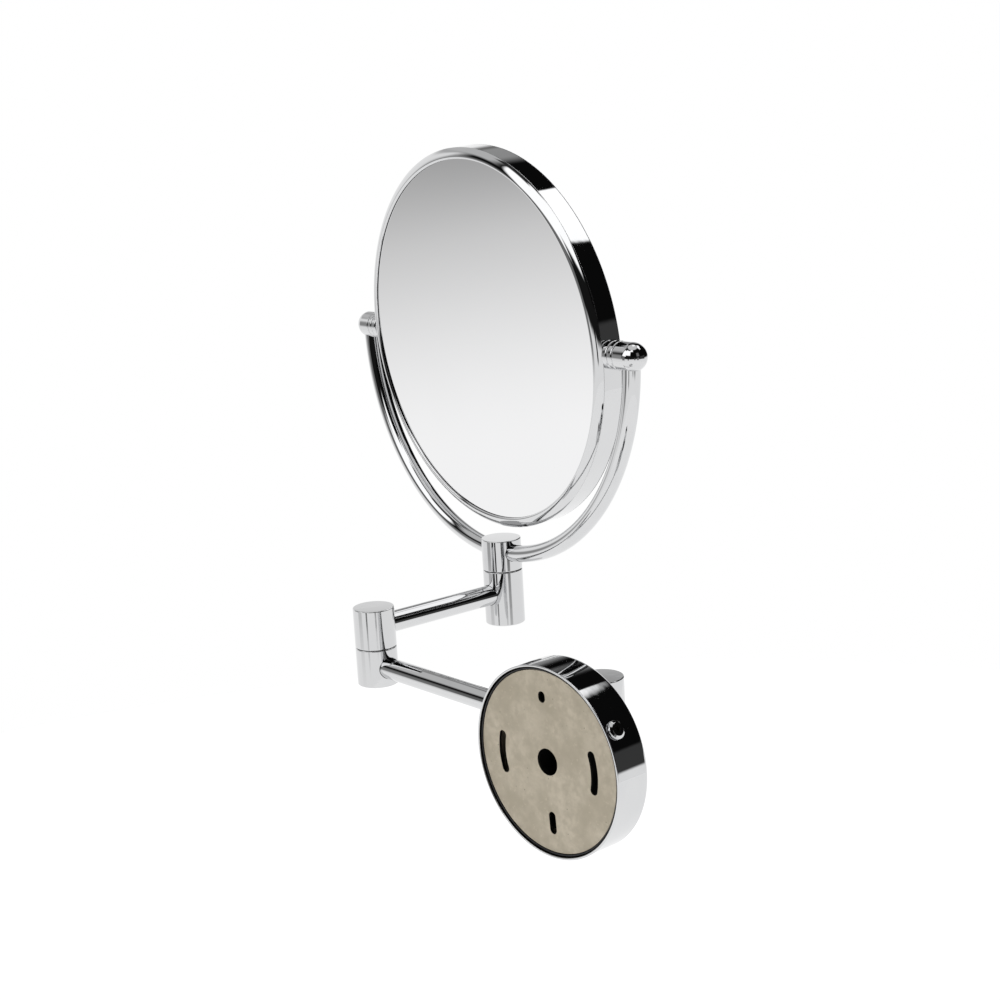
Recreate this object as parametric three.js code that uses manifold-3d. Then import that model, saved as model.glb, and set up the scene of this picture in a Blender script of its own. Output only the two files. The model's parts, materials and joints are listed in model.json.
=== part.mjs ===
// Extendable shaving mirror: a round two-sided mirror that tips in a half-ring yoke,
// on two swing arms that hinge on a round wall plate.
//
// Millimetres, +Z up.  The origin is the centre of the wall plate's back face.  +Y points into
// the wall, so the mirror stands on the -Y side, and +X is to the right seen from the room.

import * as THREE from 'three';
import { mergeVertices } from 'three/addons/utils/BufferGeometryUtils.js';
import Module from 'manifold-3d';

// ---------------------------------------------------------------- driving dimensions

const GAP = 0.3; // between neighbouring pieces

// Rest angles in plan, anticlockwise from +X.
const LOWER_ARM_ANGLE = -2;
const UPPER_ARM_ANGLE = -94;
const YOKE_ANGLE = -6.4;
const MIRROR_TILT = -3.7; // about the pivot axis

const SEGMENTS = {
  mirror: 60, plate: 48, spacer: 36, barrel: 28, tube: 20, small: 14, slot: 3, yokeRod: 7,
};

const COVER = { radius: 43.8, wall: 1.0, depth: 19, front: 1.2, round: 2.4 };
const DISC = { radius: 41.3, recess: 1.2, thickness: 1.2 };
const FLANGE = { radius: 36.5, wall: 1.2, depth: 9.5 };
const DISC_HOLES = { turn: -3, centre: 6.1, top: 29.4, bottom: -27.9 };
const DISC_SLOTS = {
  width: 4.1, arcRadius: 28.6, arcLength: 15.7, topLength: 5.1, bottomLength: 10.2, cutDepth: 6,
};
const GASKET = { inner: 41.6, outer: 42.5, low: 0.6, high: 3.0 };
const LOCK_SCREW = { angle: 150, height: 5.5, headRadius: 4.2, head: 1.7, shank: 2.0, tip: 36.8 };
const LOCK_NUT = { low: 38.4, high: 42.0, near: 3.3, far: 10.3, width: 9 };

const BARREL = { radius: 10.6, chamfer: 0.4 };
const HINGE_DEPTH = 36; // wall to the first hinge's axis
const LOWER_ARM = { length: 167, level: 1.2 };
const UPPER_ARM = { length: 85, level: 21.6 };
const ARM_TUBE = { radius: 5.45, bore: 4.2, inset: 4.2, socketInset: 4.6 };

// Heights of the barrels stacked on each upright hinge.
const WALL_STACK = { bottom: -27.6, lower: -8.3, upper: 11.2, top: 30 };
const ELBOW_STACK = { bottom: -8.3, split: 11.2, top: 32 };
const YOKE_STACK = { bottom: 5.1, split: 34.5, top: 51.6 };

const BRACKET = { pad: 3.7, width: 15, neck: 11, step: 0.8, inset: 1 };
const BRACKET_SCREW = { shank: 1.9, length: 9, head: 3.5, headHeight: 2.4 };

const BOLT = { shank: 2.9, head: 4.4, headHeight: 3, thread: 14 };
const BOLT_BORE = 3.2;
const COUNTERBORE = 4.8;
const CAP = { thickness: 1.4, radius: 4.5 };
const SPRING_WASHER = 0.8;
const FRICTION_WASHER = { radius: 8, thickness: 0.9, recess: 0.6 };
const BUSH = { radius: 4.6, length: 6 };

const PIVOT_HEIGHT = 158.5;
const YOKE_RADIUS = 114.3; // to the middle of the rod
const YOKE_ROD = { radius: 4.45, socketDepth: 5.2, steps: 18 };
const BOSS = { radius: 7.2, inner: 108.1, domeCentre: 115.3, bore: 3.0, boreEnd: 116.5 };
const RING = { radius: 7.2, width: 3.6, bore: 3.0, round: 0.8 };
const RING_STARTS = { inner: 100.3, outer: 104.2 };
const TRUNNION = { shank: 2.6, head: 4.3, headHeight: 2.4, headStart: 95.8, end: 116 };

const RIM = { radius: 100, wall: 1.2, halfWidth: 5.5 };
const BEZEL = {
  edge: 8.5, crest: 95.5, innerTilt: 12, outerTilt: 50, slope: 94.7, drop: 0.3,
  lipRadius: 94.4, lip: 0.95, skirt: 0.9,
};
const GLASS = { radius: 96.5, face: 7.2, thickness: 2.5, dish: 5.4, dishThickness: 2.3, dishRings: 4 };
const SPACER = { inner: 89, outer: 94.8, low: -3.7, high: 4.3 };
const PAD = { radius: 86, low: 2.2, high: 4.3 };

// ---------------------------------------------------------------- materials

function finish(color, roughness, metalness) {
  return new THREE.MeshStandardMaterial({ color, roughness, metalness });
}

const CHROME = finish(0xdcdee0, 0.06, 1);
const ZINC_STEEL = finish(0xb0a894, 0.55, 0.6);
const BOLT_STEEL = finish(0x9a9c9e, 0.35, 1);
const NYLON = finish(0xe8e6df, 0.5, 0);
const BLACK_RUBBER = finish(0x16171a, 0.8, 0);
const MIRROR_GLASS = finish(0xc9cdd0, 0.02, 1);
const GREY_PLASTIC = finish(0x4a4c50, 0.6, 0);
const FOAM = finish(0x2c2d30, 0.95, 0);

// ---------------------------------------------------------------- solids and booleans

const wasm = await Module();
wasm.setup();

/** Six times the signed volume that an indexed surface encloses. */
function signedVolume(positions, index) {
  let total = 0;
  const [a, b, c] = [new THREE.Vector3(), new THREE.Vector3(), new THREE.Vector3()];
  for (let i = 0; i < index.length; i += 3) {
    a.fromArray(positions, index[i] * 3);
    b.fromArray(positions, index[i + 1] * 3);
    c.fromArray(positions, index[i + 2] * 3);
    total += a.dot(b.cross(c));
  }
  return total;
}

/** A closed geometry as a solid: corners merged, slivers at a lathe's poles dropped, faces outward. */
function solid(geometry) {
  const bare = geometry.clone();
  bare.deleteAttribute('normal');
  bare.deleteAttribute('uv');
  const merged = mergeVertices(bare, 1e-4);
  const positions = merged.attributes.position.array;
  const index = [];
  for (let i = 0; i < merged.index.count; i += 3) {
    const [a, b, c] = [0, 1, 2].map((corner) => merged.index.getX(i + corner));
    if (a !== b && b !== c && c !== a) index.push(a, b, c);
  }
  if (signedVolume(positions, index) < 0) index.reverse();
  return new wasm.Manifold(new wasm.Mesh({
    numProp: 3,
    vertProperties: new Float32Array(positions),
    triVerts: new Uint32Array(index),
  }));
}

function geometryOf(body) {
  const { vertProperties, triVerts } = body.getMesh();
  const geometry = new THREE.BufferGeometry();
  geometry.setAttribute('position', new THREE.BufferAttribute(vertProperties, 3));
  geometry.setIndex(new THREE.BufferAttribute(triVerts, 1));
  return geometry;
}

/** The first geometries joined, less all the tools. */
function shape(added, removed = []) {
  const joined = added.map(solid).reduce((sum, next) => sum.add(next));
  return geometryOf(removed.map(solid).reduce((rest, tool) => rest.subtract(tool), joined));
}

// ---------------------------------------------------------------- basic forms

/** Turns [radius, height] points about Z. */
function revolve(points, segments) {
  const outline = points.map(([radius, height]) => new THREE.Vector2(radius, height));
  return new THREE.LatheGeometry(outline, segments).rotateX(Math.PI / 2);
}

/** Turns an outline that closes on itself, away from the axis. */
function revolveRing(points, segments) {
  return revolve([...points, points[0]], segments);
}

function rod(radius, low, high, segments) {
  return revolve([[0, low], [radius, low], [radius, high], [0, high]], segments);
}

function pipe(inner, outer, low, high, segments) {
  return revolveRing([[inner, low], [outer, low], [outer, high], [inner, high]], segments);
}

/** A rod whose two end edges are broken by a small chamfer. */
function chamferedRod(radius, low, high, chamfer, segments) {
  return revolve([
    [0, low],
    [radius - chamfer, low],
    [radius, low + chamfer],
    [radius, high - chamfer],
    [radius - chamfer, high],
    [0, high],
  ], segments);
}

/** Points on a quarter circle about a centre, between two angles in degrees. */
function arcPoints(centre, radius, from, to, steps) {
  return Array.from({ length: steps + 1 }, (_, i) => {
    const angle = THREE.MathUtils.degToRad(from + ((to - from) * i) / steps);
    return [centre[0] + radius * Math.cos(angle), centre[1] + radius * Math.sin(angle)];
  });
}

/** A form made along +Z, laid along +X. */
function alongX(geometry) {
  return geometry.rotateY(Math.PI / 2);
}

function box(width, depth, height, x, y, z) {
  return new THREE.BoxGeometry(width, depth, height).translate(x, y, z);
}

function mesh(name, geometry, material, parent) {
  const piece = new THREE.Mesh(geometry, material);
  piece.name = name;
  parent.add(piece);
}

/** A group turned in plan and moved out along its parent's X axis. */
function swingGroup(parent, reach, degrees) {
  const group = new THREE.Group();
  group.position.x = reach;
  group.rotation.z = THREE.MathUtils.degToRad(degrees);
  parent.add(group);
  return group;
}

// ---------------------------------------------------------------- hinge hardware

/** The room a friction washer needs on each side of a split between two barrels. */
function washerRecess(split) {
  const depth = FRICTION_WASHER.recess + GAP / 2;
  const middle = split + GAP / 2;
  return rod(FRICTION_WASHER.radius + GAP, middle - depth, middle + depth, SEGMENTS.barrel);
}

function frictionWasher(split) {
  const middle = split + GAP / 2;
  const half = FRICTION_WASHER.thickness / 2;
  return shape([pipe(BOLT_BORE, FRICTION_WASHER.radius, middle - half, middle + half, SEGMENTS.barrel)]);
}

/** Heights of the parts that hold a hinge together, counted up from the stack's bottom. */
function hardwareHeights(bottom) {
  const capTop = bottom + CAP.thickness;
  const headTop = capTop + GAP + BOLT.headHeight;
  const washerTop = headTop + GAP + SPRING_WASHER;
  return { capTop, headBottom: capTop + GAP, headTop, washerTop, floor: washerTop + GAP };
}

/** The counterbore under a hinge, which hides the bolt's head behind a cap. */
function boltPocket(bottom, split) {
  const { floor } = hardwareHeights(bottom);
  return [
    rod(COUNTERBORE, bottom - 1, floor, SEGMENTS.tube),
    rod(BOLT_BORE, bottom, split + 1, SEGMENTS.tube),
  ];
}

function boltThreadHole(split) {
  return rod(BOLT_BORE, split - 1, split + BOLT.thread + GAP, SEGMENTS.tube);
}

/** Bolt, spring washer and push-in cap of one hinge. */
function addHingeHardware(prefix, bottom, split, parent) {
  const { headBottom, headTop, washerTop } = hardwareHeights(bottom);
  const bolt = revolve([
    [0, headBottom],
    [BOLT.head, headBottom],
    [BOLT.head, headTop],
    [BOLT.shank, headTop],
    [BOLT.shank, split + BOLT.thread],
    [0, split + BOLT.thread],
  ], SEGMENTS.small);
  const socket = new THREE.CylinderGeometry(1.7, 1.7, 3, 6).rotateX(Math.PI / 2);
  mesh(`${prefix}_bolt`, shape([bolt], [socket.translate(0, 0, headBottom)]), BOLT_STEEL, parent);
  const washer = pipe(BOLT_BORE, BOLT.head, headTop + GAP, washerTop, SEGMENTS.small);
  mesh(`${prefix}_spring_washer`, shape([washer]), BOLT_STEEL, parent);
  const cap = chamferedRod(CAP.radius, bottom + 0.1, bottom + CAP.thickness, 0.2, SEGMENTS.tube);
  mesh(`${prefix}_cap`, shape([cap]), CHROME, parent);
}

/** A barrel with the pockets it needs; direction is the side of X its arm tube enters from. */
function barrel(low, high, pockets, direction = 0, level = 0) {
  const removed = [...pockets];
  if (direction !== 0) {
    const socket = rod(ARM_TUBE.radius + GAP, 0, BARREL.radius, SEGMENTS.tube);
    const start = BARREL.radius - ARM_TUBE.socketInset;
    removed.push(alongX(socket.translate(0, 0, start)).scale(direction, 1, 1).translate(0, 0, level));
  }
  return shape([chamferedRod(BARREL.radius, low, high, BARREL.chamfer, SEGMENTS.barrel)], removed);
}

/** The tube between the barrels at an arm's two ends. */
function armTube({ length, level }) {
  const end = BARREL.radius - ARM_TUBE.inset;
  return shape([
    alongX(pipe(ARM_TUBE.bore, ARM_TUBE.radius, end, length - end, SEGMENTS.tube)).translate(0, 0, level),
  ]);
}

// ---------------------------------------------------------------- wall plate

/** The plate's pieces are drawn with Z out from the wall and Y up, then stood against the wall. */
function buildWallPlate(parent) {
  const plate = new THREE.Group();
  plate.rotation.x = Math.PI / 2;
  parent.add(plate);
  mesh('wall_cover', wallCover(), CHROME, plate);
  mesh('mounting_disc', mountingDisc(), ZINC_STEEL, plate);
  const gasket = pipe(GASKET.inner, GASKET.outer, GASKET.low, GASKET.high, SEGMENTS.plate);
  mesh('rim_gasket', shape([gasket]), BLACK_RUBBER, plate);
  mesh('cover_lock_screw', lockScrew(), BOLT_STEEL, plate);
  mesh('cover_lock_nut', lockNut(), BOLT_STEEL, plate);
  mesh('wall_bracket', wallBracket(), CHROME, plate);
  for (const [side, height] of Object.entries(bracketScrewHeights())) {
    mesh(`bracket_screw_${side}`, bracketScrew().translate(0, height, 0), BOLT_STEEL, plate);
  }
}

function bracketScrewHeights() {
  return {
    upper: (WALL_STACK.upper + WALL_STACK.top) / 2,
    lower: (WALL_STACK.bottom + WALL_STACK.lower) / 2,
  };
}

/** Points a form made along +Z outwards through the cover's side, where the lock screw sits. */
function throughSide(geometry) {
  const angle = THREE.MathUtils.degToRad(LOCK_SCREW.angle);
  return alongX(geometry).rotateZ(angle).translate(0, 0, LOCK_SCREW.height);
}

function wallCover() {
  const { radius, wall, depth, front, round } = COVER;
  const inner = radius - wall;
  const cup = revolve([
    [0, depth - front],
    [inner - round, depth - front],
    [inner, depth - front - round],
    [inner, 0],
    [radius, 0],
    ...arcPoints([radius - round, depth - round], round, 0, 90, 3),
    [0, depth],
  ], SEGMENTS.plate);
  const screwHoles = Object.values(bracketScrewHeights()).map((height) => (
    rod(BRACKET_SCREW.shank + GAP, depth - front - 1, depth + 1, SEGMENTS.small).translate(0, height, 0)
  ));
  const sideHole = throughSide(rod(LOCK_SCREW.shank + GAP, radius - 4, radius + 2, SEGMENTS.small));
  return shape([cup], [...screwHoles, sideHole]);
}

/** A slot with round ends that follows a circle about the origin, centred on +X. */
function arcSlot(radius, length, width) {
  const half = length / 2 / radius;
  const end = width / 2;
  const outline = new THREE.Shape();
  outline.absarc(0, 0, radius + end, -half, half, false);
  const tip = { x: radius * Math.cos(half), y: radius * Math.sin(half) };
  outline.absarc(tip.x, tip.y, end, half, half + Math.PI, false);
  outline.absarc(0, 0, radius - end, half, -half, true);
  outline.absarc(tip.x, -tip.y, end, Math.PI - half, 2 * Math.PI - half, false);
  return slotPrism(outline, DISC_SLOTS.cutDepth);
}

function slotPrism(outline, depth) {
  return new THREE.ExtrudeGeometry(outline, { depth, bevelEnabled: false, curveSegments: SEGMENTS.slot });
}

/** An upright slot with round ends, centred on the origin. */
function uprightSlot(length, width, depth = DISC_SLOTS.cutDepth) {
  const end = width / 2;
  const run = (length - width) / 2;
  const outline = new THREE.Shape();
  outline.absarc(0, run, end, 0, Math.PI, false);
  outline.absarc(0, -run, end, Math.PI, 2 * Math.PI, false);
  return slotPrism(outline, depth);
}

/** The steel disc that is screwed to the wall, with the turned flange that the lock screw bites on. */
function mountingDisc() {
  const { recess, thickness, radius } = DISC;
  const { turn, centre, top, bottom } = DISC_HOLES;
  const { width, arcRadius, arcLength, topLength, bottomLength } = DISC_SLOTS;
  const disc = revolve([
    [0, recess],
    [radius, recess],
    [radius, recess + thickness],
    [FLANGE.radius, recess + thickness],
    [FLANGE.radius, FLANGE.depth],
    [FLANGE.radius - FLANGE.wall, FLANGE.depth],
    [FLANGE.radius - FLANGE.wall, recess + thickness],
    [0, recess + thickness],
  ], SEGMENTS.plate);
  const holes = [
    rod(centre, -1, 5, SEGMENTS.tube),
    arcSlot(arcRadius, arcLength, width),
    arcSlot(arcRadius, arcLength, width).rotateZ(Math.PI),
    uprightSlot(topLength, width).translate(0, top, 0),
    uprightSlot(bottomLength, width).translate(0, bottom, 0),
  ];
  const turned = holes.map((hole) => hole.rotateZ(THREE.MathUtils.degToRad(turn)));
  return shape([disc], turned);
}

function lockScrew() {
  const { headRadius, head, shank, tip } = LOCK_SCREW;
  const seat = COVER.radius + GAP;
  const screw = revolve([
    [0, tip],
    [shank, tip],
    [shank, seat],
    [headRadius, seat],
    [headRadius - 0.3, seat + head * 0.5],
    [headRadius * 0.6, seat + head],
    [0, seat + head],
  ], SEGMENTS.small);
  const socket = new THREE.CylinderGeometry(1.5, 1.5, 2, 6).rotateX(Math.PI / 2).translate(0, 0, seat + head);
  return throughSide(shape([screw], [socket]));
}

function lockNut() {
  const { low, high, near, far, width } = LOCK_NUT;
  const block = box(high - low, width, far - near, (low + high) / 2, 0, (near + far) / 2);
  block.rotateZ(THREE.MathUtils.degToRad(LOCK_SCREW.angle));
  const hole = throughSide(rod(LOCK_SCREW.shank + GAP, low - 1, high + 1, SEGMENTS.small));
  return shape([block], [hole]);
}

/** The casting on the cover's front: a flat pad that carries the fixed knuckles of the first hinge. */
function wallBracket() {
  const padBack = COVER.depth + GAP;
  const middle = (WALL_STACK.bottom + WALL_STACK.top) / 2;
  const height = WALL_STACK.top - WALL_STACK.bottom;
  const pad = uprightSlot(height, BRACKET.width, BRACKET.pad).translate(0, middle, padBack);
  const added = [pad];
  const removed = [];
  const knuckles = [
    [WALL_STACK.bottom, WALL_STACK.lower - GAP],
    [WALL_STACK.upper + GAP, WALL_STACK.top],
  ];
  const neckLength = HINGE_DEPTH - padBack - BRACKET.inset;
  const neckMiddle = padBack + BRACKET.inset / 2 + neckLength / 2;
  for (const [low, high] of knuckles) {
    const neckHeight = high - low - 2 * BRACKET.step;
    added.push(box(BRACKET.neck, neckHeight, neckLength, 0, (low + high) / 2, neckMiddle));
    added.push(uprightInPlate(chamferedRod(BARREL.radius, low, high, BARREL.chamfer, SEGMENTS.barrel)));
  }
  const hinge = [
    washerRecess(WALL_STACK.lower - GAP),
    washerRecess(WALL_STACK.upper),
    ...boltPocket(WALL_STACK.bottom, WALL_STACK.lower),
    boltThreadHole(WALL_STACK.upper),
  ];
  removed.push(...hinge.map(uprightInPlate));
  for (const screwHeight of Object.values(bracketScrewHeights())) {
    const end = COVER.depth - COVER.front + BRACKET_SCREW.length + GAP;
    const screwHole = rod(BRACKET_SCREW.shank + GAP, COVER.depth, end, SEGMENTS.small);
    removed.push(screwHole.translate(0, screwHeight, 0));
  }
  return shape(added, removed);
}

/** Puts an upright form from the hinge's frame into the plate's frame. */
function uprightInPlate(geometry) {
  return geometry.rotateX(-Math.PI / 2).translate(0, 0, HINGE_DEPTH);
}

function bracketScrew() {
  const seat = COVER.depth - COVER.front - GAP;
  const { shank, length, head, headHeight } = BRACKET_SCREW;
  const screw = revolve([
    [0, seat - headHeight],
    [head, seat - headHeight],
    [head, seat],
    [shank, seat],
    [shank, seat + length],
    [0, seat + length],
  ], SEGMENTS.small);
  const slot = box(1, head * 3, 1.6, 0, 0, seat - headHeight);
  return shape([screw], [slot]);
}

// ---------------------------------------------------------------- swing arms

/** A flanged nylon bush in one end of the lower arm's wall barrel. */
function flangedBush(split, direction) {
  const middle = split + GAP / 2;
  const half = FRICTION_WASHER.thickness / 2;
  const inside = middle - direction * (half + BUSH.length);
  const outside = middle + direction * half;
  const shoulder = middle - direction * half;
  return shape([revolveRing([
    [BOLT_BORE, inside],
    [BUSH.radius, inside],
    [BUSH.radius, shoulder],
    [FRICTION_WASHER.radius, shoulder],
    [FRICTION_WASHER.radius, outside],
    [BOLT_BORE, outside],
  ], SEGMENTS.tube)]);
}

function bushHole(split, direction) {
  const end = split - direction * (BUSH.length + 2);
  const [low, high] = [Math.min(split, end), Math.max(split, end)];
  return rod(BUSH.radius + GAP, low, high, SEGMENTS.tube);
}

function buildLowerArm(arm) {
  const { lower, upper } = WALL_STACK;
  const wallPockets = [
    washerRecess(lower - GAP),
    washerRecess(upper),
    bushHole(lower, -1),
    bushHole(upper, 1),
    rod(BOLT_BORE + GAP, lower, upper, SEGMENTS.tube),
  ];
  mesh('lower_arm_wall_barrel', barrel(lower, upper, wallPockets, 1, LOWER_ARM.level), CHROME, arm);
  mesh('wall_hinge_bush_upper', flangedBush(upper, 1), NYLON, arm);
  mesh('wall_hinge_bush_lower', flangedBush(lower - GAP, -1), NYLON, arm);
  mesh('lower_arm_tube', armTube(LOWER_ARM), CHROME, arm);

  const elbow = swingGroup(arm, LOWER_ARM.length, 0);
  const { bottom, split } = ELBOW_STACK;
  const pockets = [washerRecess(split), ...boltPocket(bottom, split)];
  mesh('lower_arm_elbow_barrel', barrel(bottom, split, pockets, -1, LOWER_ARM.level), CHROME, elbow);
  addHingeHardware('elbow', bottom, split, elbow);
  mesh('elbow_friction_washer', frictionWasher(split), NYLON, elbow);
}

function buildUpperArm(arm) {
  const { split, top } = ELBOW_STACK;
  const elbowPockets = [washerRecess(split), boltThreadHole(split)];
  mesh('upper_arm_elbow_barrel', barrel(split + GAP, top, elbowPockets, 1, UPPER_ARM.level), CHROME, arm);
  mesh('upper_arm_tube', armTube(UPPER_ARM), CHROME, arm);

  const end = swingGroup(arm, UPPER_ARM.length, 0);
  const yoke = YOKE_STACK;
  const pockets = [washerRecess(yoke.split), ...boltPocket(yoke.bottom, yoke.split)];
  mesh('upper_arm_mirror_barrel', barrel(yoke.bottom, yoke.split, pockets, -1, UPPER_ARM.level), CHROME, end);
  addHingeHardware('yoke_hinge', yoke.bottom, yoke.split, end);
  mesh('yoke_friction_washer', frictionWasher(yoke.split), NYLON, end);
}

// ---------------------------------------------------------------- yoke

/** Part of the yoke's ring, in the XZ plane about the pivot axis; angles in degrees from +X. */
class RingPath extends THREE.Curve {
  constructor(from, to) {
    super();
    this.from = THREE.MathUtils.degToRad(from);
    this.to = THREE.MathUtils.degToRad(to);
  }

  getPoint(t, target = new THREE.Vector3()) {
    const angle = THREE.MathUtils.lerp(this.from, this.to, t);
    return target.set(YOKE_RADIUS * Math.cos(angle), 0, PIVOT_HEIGHT + YOKE_RADIUS * Math.sin(angle));
  }
}

function ringRod(radius, from, to, steps) {
  const section = new THREE.Shape();
  section.absarc(0, 0, radius, 0, 2 * Math.PI, false);
  const extrudePath = new RingPath(from, to);
  return new THREE.ExtrudeGeometry(section, { steps, extrudePath, curveSegments: SEGMENTS.yokeRod });
}

/** Degrees of the ring that a given distance along it takes up. */
function ringDegrees(distance) {
  return THREE.MathUtils.radToDeg(distance / YOKE_RADIUS);
}

function buildYoke(yoke) {
  const hubFace = BARREL.radius - YOKE_ROD.socketDepth;
  const hubAngle = ringDegrees(hubFace);
  const rodBore = YOKE_ROD.radius + GAP;
  const { split, top } = YOKE_STACK;
  const sockets = [1, -1].map((side) => (
    ringRod(rodBore, -90 + side * ringDegrees(hubFace - GAP), -90 + side * ringDegrees(BARREL.radius + 4), 3)
  ));
  const pockets = [washerRecess(split), boltThreadHole(split), ...sockets];
  mesh('yoke_hub', barrel(split + GAP, top, pockets), CHROME, yoke);

  const bossAngle = ringDegrees(BOSS.bore + GAP * 2);
  for (const [name, side] of [['right', 1], ['left', -1]]) {
    const rodEnd = shape([ringRod(YOKE_ROD.radius, -90 + hubAngle, -bossAngle, YOKE_ROD.steps)]);
    const boss = yokeBoss();
    const outerRing = collarRing(RING_STARTS.outer);
    mesh(`yoke_rod_${name}`, mirrored(rodEnd, side), CHROME, yoke);
    mesh(`yoke_boss_${name}`, mirrored(boss, side), CHROME, yoke);
    mesh(`collar_ring_outer_${name}`, mirrored(outerRing, side).translate(0, 0, PIVOT_HEIGHT), CHROME, yoke);
  }
}

/** The same form for the +X side, or turned half round for the -X side. */
function mirrored(geometry, side) {
  return side > 0 ? geometry : geometry.rotateZ(Math.PI);
}

/** The knob on the yoke's end, with its trunnion bore and the socket that the rod comes up into. */
function yokeBoss() {
  const { radius, inner, domeCentre, bore, boreEnd } = BOSS;
  const knob = alongX(revolve([
    [0, inner],
    [radius - 0.5, inner],
    [radius, inner + 0.5],
    ...arcPoints([0, domeCentre], radius, 0, 80, 4),
    [0, domeCentre + radius],
  ], SEGMENTS.tube)).translate(0, 0, PIVOT_HEIGHT);
  const trunnionHole = alongX(rod(bore, inner - 1, boreEnd, SEGMENTS.small)).translate(0, 0, PIVOT_HEIGHT);
  const socket = ringRod(YOKE_ROD.radius + GAP, -10, -ringDegrees(bore + GAP), 3);
  return shape([knob], [trunnionHole, socket]);
}

/** One of the polished rings between the mirror's rim and the yoke's knob. */
function collarRing(start) {
  const { radius, width, bore, round } = RING;
  return shape([alongX(revolveRing([
    [bore, start],
    [radius - round, start],
    [radius, start + round],
    [radius, start + width - round],
    [radius - round, start + width],
    [bore, start + width],
  ], SEGMENTS.tube))]);
}

// ---------------------------------------------------------------- mirror head

/** The head's pieces are drawn with Z along the glass's normal, then turned so that it points along +Y. */
function buildMirrorHead(head) {
  const disc = new THREE.Group();
  disc.rotation.x = -Math.PI / 2;
  head.add(disc);
  const { mirror } = SEGMENTS;

  const band = pipe(RIM.radius - RIM.wall, RIM.radius, -RIM.halfWidth, RIM.halfWidth, mirror);
  const trunnionHoles = [0, Math.PI].map((turn) => (
    alongX(rod(TRUNNION.shank + GAP, RIM.radius - 4, RIM.radius + 2, SEGMENTS.small)).rotateZ(turn)
  ));
  mesh('rim_band', shape([band], trunnionHoles), CHROME, disc);
  mesh('bezel_plain_side', bezel(), CHROME, disc);
  mesh('bezel_magnifying_side', bezel().rotateX(Math.PI), CHROME, disc);
  const plainGlass = rod(GLASS.radius, GLASS.face - GLASS.thickness, GLASS.face, mirror);
  mesh('plain_glass', shape([plainGlass]), MIRROR_GLASS, disc);
  mesh('magnifying_glass', magnifyingGlass(), MIRROR_GLASS, disc);
  const spacer = pipe(SPACER.inner, SPACER.outer, SPACER.low, SPACER.high, SEGMENTS.spacer);
  mesh('glass_spacer_ring', shape([spacer]), GREY_PLASTIC, disc);
  mesh('plain_glass_pad', shape([rod(PAD.radius, PAD.low, PAD.high, SEGMENTS.spacer)]), FOAM, disc);

  for (const [name, side] of [['right', 1], ['left', -1]]) {
    mesh(`trunnion_screw_${name}`, mirrored(trunnionScrew(), side), BOLT_STEEL, disc);
    mesh(`collar_ring_inner_${name}`, mirrored(collarRing(RING_STARTS.inner), side), CHROME, disc);
  }
}

/**
 * The ring that closes one face.  A narrow crest slopes down to the glass inside it, and outside it a
 * wide shoulder rolls over towards the band, from one tilt to the other in degrees.
 */
function bezel() {
  const { edge, crest, innerTilt, outerTilt, slope, drop, lipRadius, lip, skirt } = BEZEL;
  const seat = RIM.halfWidth + GAP;
  const skirtOuter = RIM.radius - RIM.wall - GAP;
  const skirtInner = GLASS.radius + GAP;
  const [inner, outer] = [innerTilt, outerTilt].map(THREE.MathUtils.degToRad);
  const bend = (RIM.radius - crest) / (Math.sin(outer) - Math.sin(inner));
  const centre = [crest - bend * Math.sin(inner), edge - bend * Math.cos(inner)];
  const shoulder = arcPoints(centre, bend, 90 - outerTilt, 90 - innerTilt, 3).slice(1);
  return shape([revolveRing([
    [lipRadius, edge - lip],
    [skirtInner, edge - lip],
    [skirtInner, seat - skirt],
    [skirtOuter, seat - skirt],
    [skirtOuter, seat],
    [RIM.radius, seat],
    ...shoulder,
    [slope, edge - drop],
  ], SEGMENTS.mirror)]);
}

/** The dished glass of the magnifying side, which faces the other way from the plain one. */
function magnifyingGlass() {
  const { radius, face, dish, dishThickness, dishRings } = GLASS;
  const depthAt = (r) => -face + dish * (1 - (r / radius) ** 2);
  const radii = Array.from({ length: dishRings }, (_, i) => (radius * i) / (dishRings - 1));
  const front = radii.map((r) => [r, depthAt(r)]);
  const back = radii.map((r) => [r, depthAt(r) + dishThickness]).reverse();
  return shape([revolve([...front, ...back], SEGMENTS.mirror)]);
}

/** The screw that pins the rim to the yoke's knob and lets it turn. */
function trunnionScrew() {
  const { shank, head, headHeight, headStart, end } = TRUNNION;
  return shape([alongX(revolve([
    [0, headStart],
    [head, headStart],
    [head, headStart + headHeight],
    [shank, headStart + headHeight],
    [shank, end],
    [0, end],
  ], SEGMENTS.small))]);
}

// ---------------------------------------------------------------- assembly

const shavingMirror = new THREE.Group();
buildWallPlate(shavingMirror);

const wallHinge = new THREE.Group();
wallHinge.position.y = -HINGE_DEPTH;
shavingMirror.add(wallHinge);
addHingeHardware('wall_hinge', WALL_STACK.bottom, WALL_STACK.upper, wallHinge);

const lowerArm = swingGroup(wallHinge, 0, LOWER_ARM_ANGLE);
buildLowerArm(lowerArm);

const upperArm = swingGroup(lowerArm, LOWER_ARM.length, UPPER_ARM_ANGLE - LOWER_ARM_ANGLE);
buildUpperArm(upperArm);

const yoke = swingGroup(upperArm, UPPER_ARM.length, YOKE_ANGLE - UPPER_ARM_ANGLE);
buildYoke(yoke);

const head = new THREE.Group();
head.position.z = PIVOT_HEIGHT;
head.rotation.x = THREE.MathUtils.degToRad(MIRROR_TILT);
yoke.add(head);
buildMirrorHead(head);

export default shavingMirror;
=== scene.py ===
"""Looks of the extendable shaving mirror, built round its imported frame.

The frame gives the hinges, heights and bodies.  This script makes the fine chromed surfaces, the two
glasses, the stamped wall disc and their finishes, and sets a small studio round them.
Forms are drawn in millimetres and put in place in metres.
"""

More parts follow.
